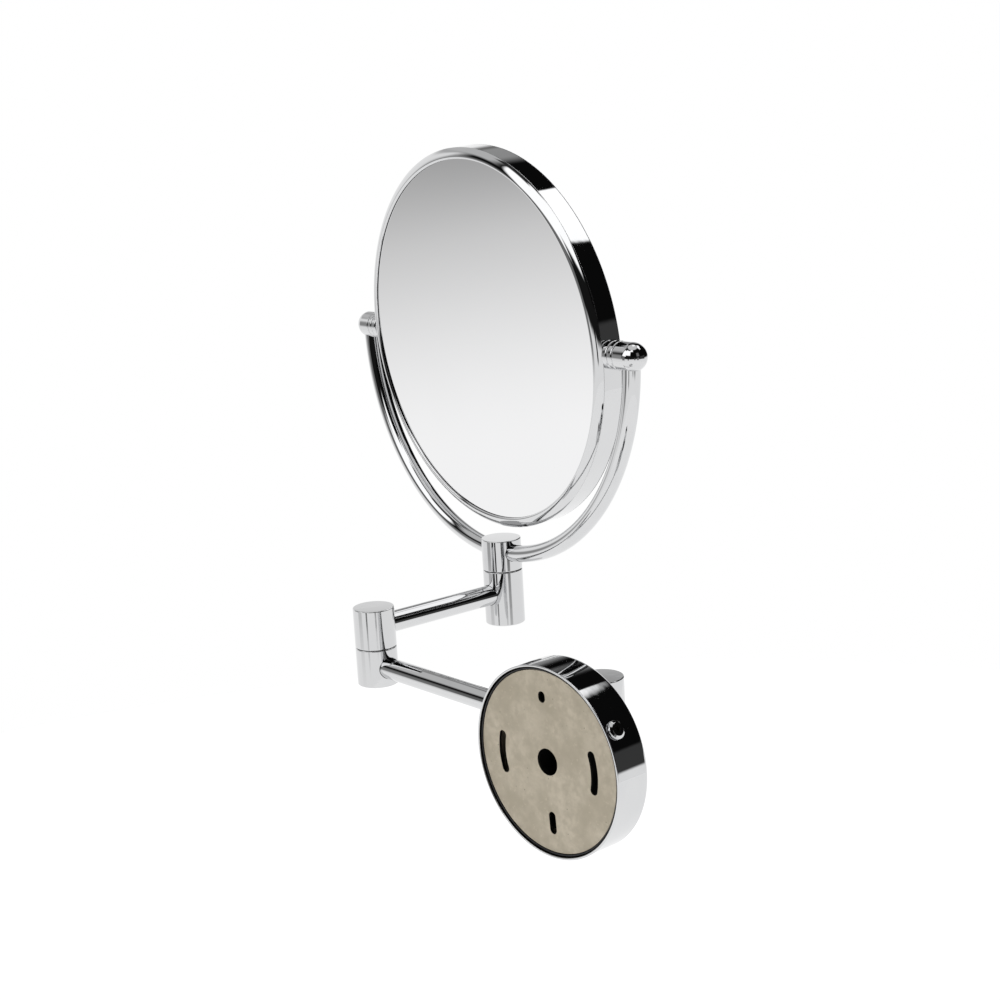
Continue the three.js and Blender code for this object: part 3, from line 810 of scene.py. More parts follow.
@dataclass(frozen=True)
class PassivatedZinc(Finish):
    """Khaki passivated zinc on sheet steel: mottled, stained and lightly scuffed."""

    metallic: float = 0.35
    pale: Colour = (0.66, 0.59, 0.47)
    khaki: Colour = (0.46, 0.405, 0.305)
    stain: Colour = (0.27, 0.23, 0.165)
    bump: float = 0.25
    bump_depth: float = 0.0003

    def paint(self, board: Board, shader: bpy.types.Node, effects: Effects) -> None:
        """Paints three sizes of mottle, stains, scuffs and a rolled grain."""
        broad = board.place(effects.cloud, scale=55.0, low=0.0, high=1.0).outputs[0]
        fine = board.place(effects.cloud, scale=320.0, low=0.0, high=1.0).outputs[0]
        blot = board.place(effects.smudges, scale=60.0, amount=1.0).outputs[0]
        scratch = board.place(effects.scratches, scale=420.0, amount=1.0).outputs[0]
        speck = board.place(effects.specks, scale=380.0, size=0.22, amount=1.0).outputs[0]
        grain = board.place(effects.grain, scale=1800.0, contrast=1.0).outputs[0]
        base = board.mix(broad, self.khaki, self.pale)
        mottled = board.mix(board.math("MULTIPLY", fine, 0.55), base, self.khaki)
        blotted = board.mix(board.math("MULTIPLY", blot, 0.45), mottled, self.pale)
        scuffed = board.mix(board.math("MULTIPLY", scratch, 0.35), blotted, self.pale)
        stained = board.mix(board.math("MULTIPLY", speck, 0.7), scuffed, self.stain)
        board.feed(stained, shader.inputs["Base Color"])
        uneven = board.math("ADD", board.math("MULTIPLY", broad, 0.6), board.math("MULTIPLY", fine, 0.4))
        rough = board.ramp(uneven, 0.0, 1.0, 0.36, 0.56)
        board.feed(rough, shader.inputs["Roughness"])
        dents = board.math("ADD", board.math("MULTIPLY", grain, 0.3), board.math("MULTIPLY", broad, 0.8))
        self.relief(board, shader, board.math("SUBTRACT", dents, board.math("MULTIPLY", scratch, 0.25)))


@dataclass(frozen=True)
class MachinedSteel(Finish):
    """Zinc-plated fastener steel with turning marks and oil stains."""

    metallic: float = 1.0
    bright: Colour = (0.50, 0.50, 0.49)
    dark: Colour = (0.27, 0.27, 0.275)
    bump: float = 0.2

    def paint(self, board: Board, shader: bpy.types.Node, effects: Effects) -> None:
        """Paints stains and hairlines."""
        cloud = board.place(effects.cloud, scale=240.0, low=0.0, high=1.0).outputs[0]
        scratch = board.place(effects.scratches, scale=1500.0, amount=1.0).outputs[0]
        board.feed(board.mix(cloud, self.dark, self.bright), shader.inputs["Base Color"])
        board.feed(board.ramp(cloud, 0.0, 1.0, 0.42, 0.24), shader.inputs["Roughness"])
        self.relief(board, shader, scratch)


@dataclass(frozen=True)
class MouldedPolymer(Finish):
    """A moulded plastic or rubber with fine grain and a worn sheen."""

    tone: Colour = (0.8, 0.78, 0.72)
    worn: Colour = (0.7, 0.67, 0.6)
    smooth: float = 0.38
    dull: float = 0.6
    grain_scale: float = 2600.0
    bump: float = 0.3

    def paint(self, board: Board, shader: bpy.types.Node, effects: Effects) -> None:
        """Paints uneven colour, sheen and grain."""
        cloud = board.place(effects.cloud, scale=180.0, low=0.0, high=1.0).outputs[0]
        speck = board.place(effects.specks, scale=900.0, size=0.15, amount=0.4).outputs[0]
        uneven = board.math("ADD", board.math("MULTIPLY", cloud, 0.6), speck, clamp=True)
        board.feed(board.mix(uneven, self.tone, self.worn), shader.inputs["Base Color"])
        board.feed(board.ramp(cloud, 0.0, 1.0, self.smooth, self.dull), shader.inputs["Roughness"])
        self.relief(board, shader, board.place(effects.grain, scale=self.grain_scale).outputs[0])


@dataclass(frozen=True)
class PaintedShadePlating(Finish):
    """The unpolished, thinly plated inside of the cover, coloured near-black as painted shade; hole walls and
    a screw's socket wear the same painted shade.
    """

    metallic: float = 0.9
    # Both tones are near-black: this plating is painted shade on faces inside the cup, the holes and the
    # socket.
    bright: Colour = (0.055, 0.053, 0.05)
    dark: Colour = (0.02, 0.02, 0.02)
    bump: float = 0.3
    bump_depth: float = 0.0002

    def paint(self, board: Board, shader: bpy.types.Node, effects: Effects) -> None:
        """Paints a patchy near-black plate, which is painted shade, over the drawn metal's grain."""
        cloud = board.place(effects.cloud, scale=90.0, low=0.0, high=1.0).outputs[0]
        scratch = board.place(effects.scratches, scale=600.0, amount=1.0).outputs[0]
        board.feed(board.mix(cloud, self.dark, self.bright), shader.inputs["Base Color"])
        board.feed(board.ramp(cloud, 0.0, 1.0, 0.45, 0.65), shader.inputs["Roughness"])
        self.relief(board, shader, scratch)


@dataclass
class Finishes:
    """Every finish of the mirror as a material."""

    effects: Effects
    chrome: bpy.types.Material = field(init=False)
    glass: bpy.types.Material = field(init=False)
    glass_edge: bpy.types.Material = field(init=False)
    zinc: bpy.types.Material = field(init=False)
    steel: bpy.types.Material = field(init=False)
    nylon: bpy.types.Material = field(init=False)
    rubber: bpy.types.Material = field(init=False)
    plastic: bpy.types.Material = field(init=False)
    foam: bpy.types.Material = field(init=False)
    # The near-black plating, painted shade for the faces inside the cup, the holes and the socket.
    inside: bpy.types.Material = field(init=False)

    def __post_init__(self) -> None:
        """Builds the materials."""
        effects = self.effects
        self.chrome = PolishedChrome("polished_chrome").build(effects)
        self.glass = SilveredGlass("silvered_glass").build(effects)
        self.glass_edge = GroundGlassEdge("ground_glass_edge").build(effects)
        self.zinc = PassivatedZinc("passivated_zinc").build(effects)
        self.steel = MachinedSteel("fastener_steel").build(effects)
        self.nylon = MouldedPolymer("nylon").build(effects)
        self.rubber = MouldedPolymer(
            "black_rubber", tone=(0.012, 0.012, 0.013), worn=(0.03, 0.03, 0.032), smooth=0.5, dull=0.75
        ).build(effects)
        self.plastic = MouldedPolymer(
            "grey_plastic", tone=(0.07, 0.072, 0.078), worn=(0.11, 0.11, 0.115), smooth=0.4, dull=0.6
        ).build(effects)
        self.foam = MouldedPolymer(
            "foam_pad", tone=(0.02, 0.02, 0.022), worn=(0.05, 0.05, 0.052), smooth=0.85, dull=0.98,
            grain_scale=900.0, bump=0.8, bump_depth=0.0006,
        ).build(effects)
        # The dull plating finish is coloured near-black as painted shade.
        self.inside = PaintedShadePlating("painted_shade_plating").build(effects)


# ---------------------------------------------------------------- fitting pieces to the frame


@dataclass
class Bench:
    """Where finished forms are put on their bodies."""

    finishes: Finishes

    def fit(
        self,
        piece: bpy.types.Object,
        placing: Matrix,
        body: Body,
        slot: Slot,
        nodes: Sequence[str],
        materials: Sequence[bpy.types.Material],
        choose: Callable[[bpy.types.MeshPolygon], int] | None = None,
    ) -> bpy.types.Object:
        """Dresses a form, puts it in place in metres and lets it ride.

        Args:
            piece: The form in millimetres, in its own axes.
            placing: Its own axes in the whole mirror's, in millimetres.
            body: The body that it rides on.
            slot: The record's slot for its finish; not used.
            nodes: The frame's nodes that it stands for.
            materials: Its materials.
            choose: Picks a face's material, before the form is moved.

        Returns:
            The fitted piece.
        """
        piece.data.materials.clear()
        for material in materials:
            piece.data.materials.append(material)
        for face in piece.data.polygons:
            face.material_index = choose(face) if choose else 0
        piece.data.transform(Matrix.Scale(MM, 4) @ placing)
        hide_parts(*nodes)
        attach(piece, body.value)
        LOG.info("%s rides on %s and stands for %s", piece.name, body.value, ", ".join(nodes))
        return piece

    def keep(self, node: str, material: bpy.types.Material) -> None:
        """Gives a node of the frame that stays its finish."""
        slots = frame["nodes"][node].data.materials
        slots.clear()
        slots.append(material)
        LOG.info("%s keeps its own form", node)


def heights(node: str) -> tuple[float, float]:
    """The lowest and highest point of a node of the frame, in millimetres."""
    low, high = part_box(node)
    return low.z / MM, high.z / MM


def joint_position(name: str) -> Vector:
    """Where a joint of the frame lies, in millimetres."""
    return Vector(next(j["pos_m"] for j in frame["joints"] if j["name"] == name)) / MM


def joint_axis(name: str) -> Vector:
    """The axis of a joint of the frame."""
    return Vector(next(j["axis"] for j in frame["joints"] if j["name"] == name))


def axes_along(direction: Vector, origin: Vector) -> Matrix:
    """Upright axes whose X follows a level direction."""
    return Matrix.Translation(origin) @ Matrix.Rotation(math.atan2(direction.y, direction.x), 4, "Z")


# ---------------------------------------------------------------- sizes that sub-assemblies share

GAP = 0.3
SEAM = 0.16
BARREL_RADIUS = 10.6
BARREL_ROUNDING = 0.45
BARREL_FLATS = 192
TUBE_RADIUS = 5.45
TUBE_BORE = 4.2
TUBE_INSET = 4.2
SOCKET_INSET = 4.6
BOLT_BORE = 3.2
COUNTERBORE = 4.8
POCKET_DEPTH = 6.1
THREAD_DEPTH = 14.3
WASHER_RECESS_RADIUS = 8.3
WASHER_RECESS_DEPTH = 0.75
BUSH_BORE = 4.9
BUSH_DEPTH = 8.0
CAP_THICKNESS = 1.4
CAP_RADIUS = 4.6


@dataclass(frozen=True)
class Barrel:
    """One knuckle of an upright hinge, with its bores."""

    node: str
    bottom: BarrelEnd
    top: BarrelEnd

    def _steps(self, end: BarrelEnd, height: float, inward: float) -> list[Corner]:
        """The bores met going in from one end.

        Args:
            end: How that end is machined.
            height: The end's height.
            inward: 1 going up from the bottom, -1 going down from the top.

        Returns:
            The corners from the end face to the deepest bore.
        """
        recess = height + inward * WASHER_RECESS_DEPTH
        washer = [(WASHER_RECESS_RADIUS, height, 0.1), (WASHER_RECESS_RADIUS, recess, 0.0)]
        if end is BarrelEnd.CLOSED:
            return [(0.0, height, 0.0)]
        if end is BarrelEnd.BOLT_POCKET:
            floor = height + inward * POCKET_DEPTH
            return [(COUNTERBORE, height, 0.15), (COUNTERBORE, floor, 0.0), (BOLT_BORE, floor, 0.0)]
        if end is BarrelEnd.BUSH:
            shoulder = height + inward * BUSH_DEPTH
            bush = [(BUSH_BORE, recess, 0.0), (BUSH_BORE, shoulder, 0.0), (BOLT_BORE, shoulder, 0.0)]
            return [*washer, *bush]
        if end is BarrelEnd.THREAD:
            blind = height + inward * THREAD_DEPTH
            return [*washer, (BOLT_BORE, recess, 0.0), (BOLT_BORE, blind, 0.0), (0.0, blind, 0.0)]
        return [*washer, (BOLT_BORE, recess, 0.0)]

    def form(self, name: str) -> bpy.types.Object:
        """Turns the barrel.

        Args:
            name: The new object's name.

        Returns:
            The barrel about Z, in millimetres, still without its sockets.
        """
        low, high = heights(self.node)
        inner_low = self._steps(self.bottom, low, 1.0)
        inner_high = self._steps(self.top, high, -1.0)
        wall = [(BARREL_RADIUS, low, BARREL_ROUNDING), (BARREL_RADIUS, high, BARREL_ROUNDING)]
        blind_ends = (BarrelEnd.CLOSED, BarrelEnd.THREAD)
        if self.top in blind_ends and self.bottom in blind_ends:
            return lathe(name, rounded([*reversed(inner_low), *wall, *inner_high]), BARREL_FLATS)
        if inner_low[-1][0] == 0.0 or inner_high[-1][0] == 0.0:
            raise ValueError(f"{name}: a through bore can't meet a closed end")
        loop = [*reversed(inner_low), *wall, *inner_high]
        return lathe(name, closed_outline(loop), BARREL_FLATS, ring=True)


def level_socket(side: float, level: float) -> bpy.types.Object:
    """The hole that an arm's tube is pressed into, on the +X or -X side of a barrel."""
    start = BARREL_RADIUS - SOCKET_INSET
    hole = lathe("socket", [(0, start), (TUBE_RADIUS + SEAM, start), (TUBE_RADIUS + SEAM, 14), (0, 14)], 96)
    moved(hole, along_x())
    if side < 0:
        moved(hole, turned(180))
    return moved(hole, shifted(z=level))


def hinge_cap(name: str, node: str) -> bpy.types.Object:
    """The push-in cap under a hinge's bolt, slightly crowned."""
    low, _ = heights(node)
    top = low + CAP_THICKNESS - 0.1
    crown = arc((0.0, low + 20.0), 20.0, -90.0, -90.0 + math.degrees(CAP_RADIUS * 0.9 / 20.0), 8)
    outline = [*crown, (CAP_RADIUS, low + 0.45), (CAP_RADIUS, top), (0.0, top)]
    return polish(lathe(name, outline, 96))


# ---------------------------------------------------------------- wall plate


@dataclass
class WallPlate:
    """Chromed cover, mounting disc, gasket, lock screw and the bracket with the first hinge's knuckles."""

    bench: Bench
    radius: float = 43.79
    wall: float = 1.0
    depth: float = 19.0
    front: float = 1.2
    round: float = 2.4
    polished_lip: float = 1.6
    disc_radius: float = 41.3
    disc_recess: float = 1.2
    disc_sheet: float = 1.2
    flange_radius: float = 36.5
    flange_depth: float = 9.5
    hole_turn: float = -3.0
    centre_hole: float = 6.1
    slot_width: float = 4.1
    slot_circle: float = 28.6
    slot_length: float = 15.7
    top_hole: float = 29.4
    bottom_hole: float = -27.9
    screw_angle: float = 150.0
    screw_height: float = 5.5
    hinge_depth: float = 36.0
    flats: int = 256

    @property
    def placing(self) -> Matrix:
        """The plate is drawn with Z out from the wall and Y up."""
        return turned(90, "X")

    def build(self) -> None:
        """Makes every piece of the plate."""
        self._cover()
        self._disc()
        self._gasket()
        self._lock_screw()
        self._bracket()
        self._cap()
        for node in ("cover_lock_nut", "bracket_screw_upper", "bracket_screw_lower",
                     "wall_hinge_bolt", "wall_hinge_spring_washer"):
            self.bench.keep(node, self.bench.finishes.steel)

    def _cover(self) -> None:
        """The deep-drawn cup, polished outside and unpolished inside, where its faces wear painted shade."""
        inner = self.radius - self.wall
        floor = self.depth - self.front
        cup = lathe("wall_cover_shell", rounded([
            (0.0, floor, 0.0),
            (inner, floor, self.round - self.front),
            (inner, self.polished_lip, 0.0),
            (inner, 0.0, 0.3),
            (self.radius, 0.0, 0.4),
            (self.radius, self.depth, self.round),
            (0.0, self.depth, 0.0),
        ], steps=10), self.flats)

        inward = -0.5
        downward = -0.7
        reach = inner + 0.05
        mouth = 2.0

        def inside(face: bpy.types.MeshPolygon) -> int:
            """1 for the faces that look into the cup, which get the painted shade."""
            spread = face.center.xy.length
            above_lip = face.center.z > self.polished_lip
            looks_in = above_lip and face.normal.xy.dot(face.center.xy) < inward * spread
            looks_back = face.normal.z < downward and face.center.z > mouth
            return int((looks_in and spread < reach) or looks_back)

        finishes = self.bench.finishes
        # The faces inside the cup get the near-black plating as painted shade.
        self.bench.fit(polish(cup), self.placing, Body.WALL_PLATE, Slot.CHROME, ["wall_cover"],
                       [finishes.chrome, finishes.inside], inside)

    def _round_slot(self, circle: float, length: float, width: float) -> list[Point]:
        """An outline with round ends that follows a circle, centred on +X."""
        half = math.degrees((length - width) / 2 / circle)
        end = width / 2
        tip = (circle * math.cos(math.radians(half)), circle * math.sin(math.radians(half)))
        outer = arc((0.0, 0.0), circle + end, -half, half, 12)
        far_end = arc(tip, end, half, half + 180.0, 14)[1:-1]
        inner = arc((0.0, 0.0), circle - end, half, -half, 12)
        near_end = arc((tip[0], -tip[1]), end, 180.0 - half, 360.0 - half, 14)[1:-1]
        return [*outer, *far_end, *inner, *near_end]

    @staticmethod
    def _upright_slot(length: float, width: float) -> list[Point]:
        """An upright outline with round ends, centred on the origin."""
        run = (length - width) / 2
        return [*arc((0.0, run), width / 2, 0.0, 180.0, 16), *arc((0.0, -run), width / 2, 180.0, 360.0, 16)]

    def _disc(self) -> None:
        """The stamped disc with its turned flange, two arc slots, two upright slots and centre hole."""
        front = self.disc_recess
        back = front + self.disc_sheet
        flange = self.flange_radius
        disc = lathe("mounting_disc_plate", rounded([
            (0.0, front, 0.0),
            (self.disc_radius, front, 0.25),
            (self.disc_radius, back, 0.1),
            (flange, back, 0.3),
            (flange, self.flange_depth, 0.2),
            (flange - 1.2, self.flange_depth, 0.2),
            (flange - 1.2, back, 0.3),
            (0.0, back, 0.0),
        ], steps=4), self.flats)
        long_slot = self._round_slot(self.slot_circle, self.slot_length + self.slot_width, self.slot_width)
        holes = [
            lathe("centre", [(0, 0), (self.centre_hole, 0), (self.centre_hole, 4), (0, 4)], 96),
            prism("slot_right", long_slot, 0, 4),
            moved(prism("slot_left", long_slot, 0, 4), turned(180)),
            moved(prism("top", self._upright_slot(self.slot_width * 1.25, self.slot_width), 0, 4),
                  shifted(y=self.top_hole)),
            moved(prism("bottom", self._upright_slot(self.slot_width * 2.5, self.slot_width), 0, 4),
                  shifted(y=self.bottom_hole)),
        ]
        for hole in holes:
            moved(hole, turned(self.hole_turn))
        combine(disc, holes, Cut.REMOVE)
        break_edges(disc, 0.18, angle=60.0)
        finishes = self.bench.finishes
        # The slot and hole walls get the near-black plating as painted shade.
        self.bench.fit(polish(disc), self.placing, Body.WALL_PLATE, Slot.DISC_STEEL, ["mounting_disc"],
                       [finishes.zinc, finishes.inside],
                       lambda face: int(abs(face.normal.z) < 0.5 and face.center.xy.length < flange - 2.0))

    def _gasket(self) -> None:
        """The black ring between the disc and the cover."""
        ring = lathe("rim_gasket_ring", closed_outline([
            (41.8, 3.0, 0.0), (42.2, 3.0, 0.15), (42.2, 0.9, 0.2), (41.6, 0.9, 0.2), (41.6, 3.0, 0.15),
        ]), self.flats, ring=True)
        self.bench.fit(polish(ring), self.placing, Body.WALL_PLATE, Slot.BLACK_RUBBER, ["rim_gasket"],
                       [self.bench.finishes.rubber])

    def _lock_screw(self) -> None:
        """The socket screw in the cover's side, which holds it on the disc's flange."""
        seat = self.radius + GAP
        screw = lathe("cover_lock_screw_head", rounded([
            (0.0, 36.8, 0.0), (1.6, 36.8, 0.0), (2.0, 37.2, 0.0), (2.0, seat, 0.0), (4.2, seat, 0.15),
            (4.1, seat + 0.9, 0.5), (2.9, seat + 1.7, 0.6), (0.0, seat + 1.7, 0.0),
        ], steps=8), 96)
        socket = prism("socket", arc((0.0, 0.0), 1.55, 0.0, 300.0, 5), seat + 0.3, seat + 3)
        combine(screw, [socket], Cut.REMOVE)
        side = turned(self.screw_angle) @ along_x()
        placing = self.placing @ shifted(z=self.screw_height) @ side
        finishes = self.bench.finishes
        # The socket's recess gets the near-black plating as painted shade.
        self.bench.fit(polish(screw, crease=40), placing, Body.WALL_PLATE, Slot.BOLT_STEEL,
                       ["cover_lock_screw"], [finishes.chrome, finishes.inside],
                       lambda face: int(face.center.xy.length < 1.5 and face.center.z > seat))

    def _bracket(self) -> None:
        """The cast pad with the two fixed knuckles of the first hinge."""
        bottom, top = heights("wall_bracket")
        lower, upper = heights("lower_arm_wall_barrel")
        middle = (bottom + top) / 2
        back = self.depth + GAP
        pad = prism("wall_bracket_casting", self._upright_slot(top - bottom, 15.0), 0.0, 3.7)
        break_edges(pad, 0.6, angle=60.0)
        upright = turned(-90, "X")
        parts: list[bpy.types.Object] = []
        moved(pad, shifted(y=middle, z=back))
        for low, high, ends in (
            (bottom, lower - GAP, (BarrelEnd.BOLT_POCKET, BarrelEnd.WASHER)),
            (upper + GAP, top, (BarrelEnd.THREAD, BarrelEnd.CLOSED)),
        ):
            inset = 0.8
            half_neck = 5.5
            corners = [(-half_neck, low + inset), (half_neck, low + inset),
                       (half_neck, high - inset), (-half_neck, high - inset)]
            neck = prism("neck", corners, back + 0.5, self.hinge_depth - 1)
            break_edges(neck, 0.7)
            knuckle = self._knuckle(low, high, ends)
            moved(knuckle, shifted(z=self.hinge_depth) @ upright)
            parts.extend((neck, knuckle))
        combine(pad, parts, Cut.ADD)
        self.bench.fit(polish(pad, crease=28), self.placing, Body.WALL_PLATE, Slot.CHROME, ["wall_bracket"],
                       [self.bench.finishes.chrome])

    @staticmethod
    def _knuckle(low: float, high: float, ends: tuple[BarrelEnd, BarrelEnd]) -> bpy.types.Object:
        """A plain outer knuckle with a rounded rim and, at its foot, the room for the bolt's cap."""
        pocket = ends[0] is BarrelEnd.BOLT_POCKET
        foot = [(0.0, low + 2.0, 0.0), (COUNTERBORE, low + 2.0, 0.0), (COUNTERBORE, low, 0.15)]
        start = foot if pocket else [(0.0, low, 0.0)]
        outline = rounded([
            *start,
            (BARREL_RADIUS, low, BARREL_ROUNDING),
            (BARREL_RADIUS, high, BARREL_ROUNDING),
            (0.0, high, 0.0),
        ])
        return lathe("knuckle", outline, BARREL_FLATS)

    def _cap(self) -> None:
        """The cap under the first hinge."""
        placing = shifted(y=-self.hinge_depth)
        cap = hinge_cap("wall_hinge_cap_disc", "wall_hinge_cap")
        self.bench.fit(cap, placing, Body.WALL_PLATE, Slot.CHROME,
                       ["wall_hinge_cap"], [self.bench.finishes.chrome])


# ---------------------------------------------------------------- swing arms


@dataclass
class SwingArm:
    """A tube pressed into a hinge barrel at each end, with the cap and washer of its far hinge."""

    bench: Bench
    body: Body
    start: Vector
    end: Vector
    near: Barrel
    far: Barrel
    tube_node: str
    hinge: str
    bushes: tuple[str, ...] = ()
    level: float = field(init=False)

    def __post_init__(self) -> None:
        """Takes the tube's height from the frame."""
        low, high = heights(self.tube_node)
        self.level = (low + high) / 2

    @property
    def length(self) -> float:
        """From hinge to hinge."""
        return (self.end - self.start).length

    def build(self) -> None:
        """Makes both barrels, the tube and the cap."""
        direction = self.end - self.start
        near_axes = axes_along(direction, self.start)
        far_axes = axes_along(direction, self.end)
        chrome = self.bench.finishes.chrome
        for barrel, axes, side in ((self.near, near_axes, 1.0), (self.far, far_axes, -1.0)):
            form = barrel.form(barrel.node + "_turned")
            combine(form, [level_socket(side, self.level)], Cut.REMOVE)
            self.bench.fit(polish(form), axes, self.body, Slot.CHROME, [barrel.node], [chrome])
        self._tube(near_axes)
        cap = hinge_cap(self.hinge + "_cap_disc", self.hinge + "_cap")
        self.bench.fit(cap, far_axes, self.body, Slot.CHROME, [self.hinge + "_cap"], [chrome])
        self.bench.keep(self.hinge + "_bolt", self.bench.finishes.steel)
        self.bench.keep(self.hinge + "_spring_washer", self.bench.finishes.steel)
        washer = self.hinge.removesuffix("_hinge") + "_friction_washer"
        for node in (washer, *self.bushes):
            self.bench.keep(node, self.bench.finishes.nylon)

    def _tube(self, axes: Matrix) -> None:
        """The drawn tube, with its ends inside the sockets."""
        inset = BARREL_RADIUS - TUBE_INSET
        tube = lathe(self.tube_node + "_drawn", [
            (TUBE_BORE, inset), (TUBE_RADIUS, inset),
            (TUBE_RADIUS, self.length - inset), (TUBE_BORE, self.length - inset),
        ], 160, ring=True)
        placing = axes @ shifted(z=self.level) @ along_x()
        self.bench.fit(polish(tube), placing, self.body, Slot.CHROME,
                       [self.tube_node], [self.bench.finishes.chrome])


# ---------------------------------------------------------------- yoke


@dataclass
class Yoke:
    """The hub on the second arm, the two bent rods, the knobs and their outer collar rings."""

    bench: Bench
    origin: Vector
    axis: Vector
    pivot_height: float
    rod_tree: BentRodTree
    ring_tree: CollarRingTree
    bend: float = 114.3
    rod: float = 4.45
    socket_depth: float = 5.2
    knob: float = 7.2
    knob_start: float = 108.1
    dome_centre: float = 115.3
    ring_start: float = 104.2
    ring_width: float = 3.6

    @property
    def axes(self) -> Matrix:
        """The yoke's own axes, X along the pivot axis."""
        return axes_along(self.axis, self.origin)

    def build(self) -> None:
        """Makes every piece of the yoke."""
        self._hub()
        for name, side in (("right", 1.0), ("left", -1.0)):
            self._rod(name, side)
            self._knob(name, side)
        self._rings()

    def _degrees(self, distance: float) -> float:
        """Degrees of the bend that a distance along it takes up."""
        return math.degrees(distance / self.bend)

    def _bent(self, name: str, radius: float, start: float, end: float) -> bpy.types.Object:
        """A stretch of the bent rod, from one angle to another, in degrees from +X."""
        form = self.rod_tree.grow(name, {
            "Rod Radius": radius,
            "Bend Radius": self.bend,
            "Start Angle": math.radians(start),
            "Sweep": math.radians(end - start),
        })
        return moved(outward(form), shifted(z=self.pivot_height) @ turned(90, "X"))

    def _hub(self) -> None:
        """The top knuckle, which both rods are pressed into."""
        hub = Barrel("yoke_hub", BarrelEnd.THREAD, BarrelEnd.CLOSED).form("yoke_hub_turned")
        face = BARREL_RADIUS - self.socket_depth
        past_wall = 6
        sockets = [
            self._bent("socket", self.rod + SEAM, *sorted((
                -90 + side * self._degrees(face),
                -90 + side * self._degrees(BARREL_RADIUS + past_wall),
            )))
            for side in (1.0, -1.0)
        ]
        combine(hub, sockets, Cut.REMOVE)
        self.bench.fit(polish(hub), self.axes, Body.YOKE, Slot.CHROME,
                       ["yoke_hub"], [self.bench.finishes.chrome])

    def _rod(self, name: str, side: float) -> None:
        """One side's rod, from the hub up into its knob."""
        face = BARREL_RADIUS - self.socket_depth
        rod = self._bent(f"yoke_rod_{name}_bent", self.rod, -90 + self._degrees(face), -self._degrees(3.6))
        placing = self.axes @ turned(0 if side > 0 else 180)
        self.bench.fit(polish(rod, crease=50), placing, Body.YOKE, Slot.CHROME, [f"yoke_rod_{name}"],
                       [self.bench.finishes.chrome])

    def _knob(self, name: str, side: float) -> None:
        """One side's domed knob."""
        dome = arc((0.0, self.dome_centre), self.knob, 0.0, 90.0, 32)
        outline = [*rounded([(0.0, self.knob_start, 0.0), (self.knob, self.knob_start, 0.55),
                             (self.knob, self.dome_centre, 0.0)], steps=8)[:-1], *dome[:-1],
                   (0.0, self.dome_centre + self.knob)]
        knob = moved(lathe(f"yoke_boss_{name}_knob", outline, 160), shifted(z=self.pivot_height) @ along_x())
        socket = self._bent("socket", self.rod + SEAM, -12.0, -self._degrees(3.3))
        combine(knob, [socket], Cut.REMOVE)
        placing = self.axes @ turned(0 if side > 0 else 180)
        self.bench.fit(polish(knob), placing, Body.YOKE, Slot.CHROME, [f"yoke_boss_{name}"],
                       [self.bench.finishes.chrome])

    def _rings(self) -> None:
        """The outer collar ring on each side."""
        rings = self.ring_tree.grow("collar_rings_outer", {
            "Outer Radius": self.knob,
            "Width": self.ring_width,
            "Middle": self.ring_start + self.ring_width / 2,
        })
        placing = self.axes @ shifted(z=self.pivot_height)
        self.bench.fit(polish(outward(rings)), placing, Body.YOKE, Slot.CHROME,
                       ["collar_ring_outer_right", "collar_ring_outer_left"], [self.bench.finishes.chrome])


# ---------------------------------------------------------------- mirror head


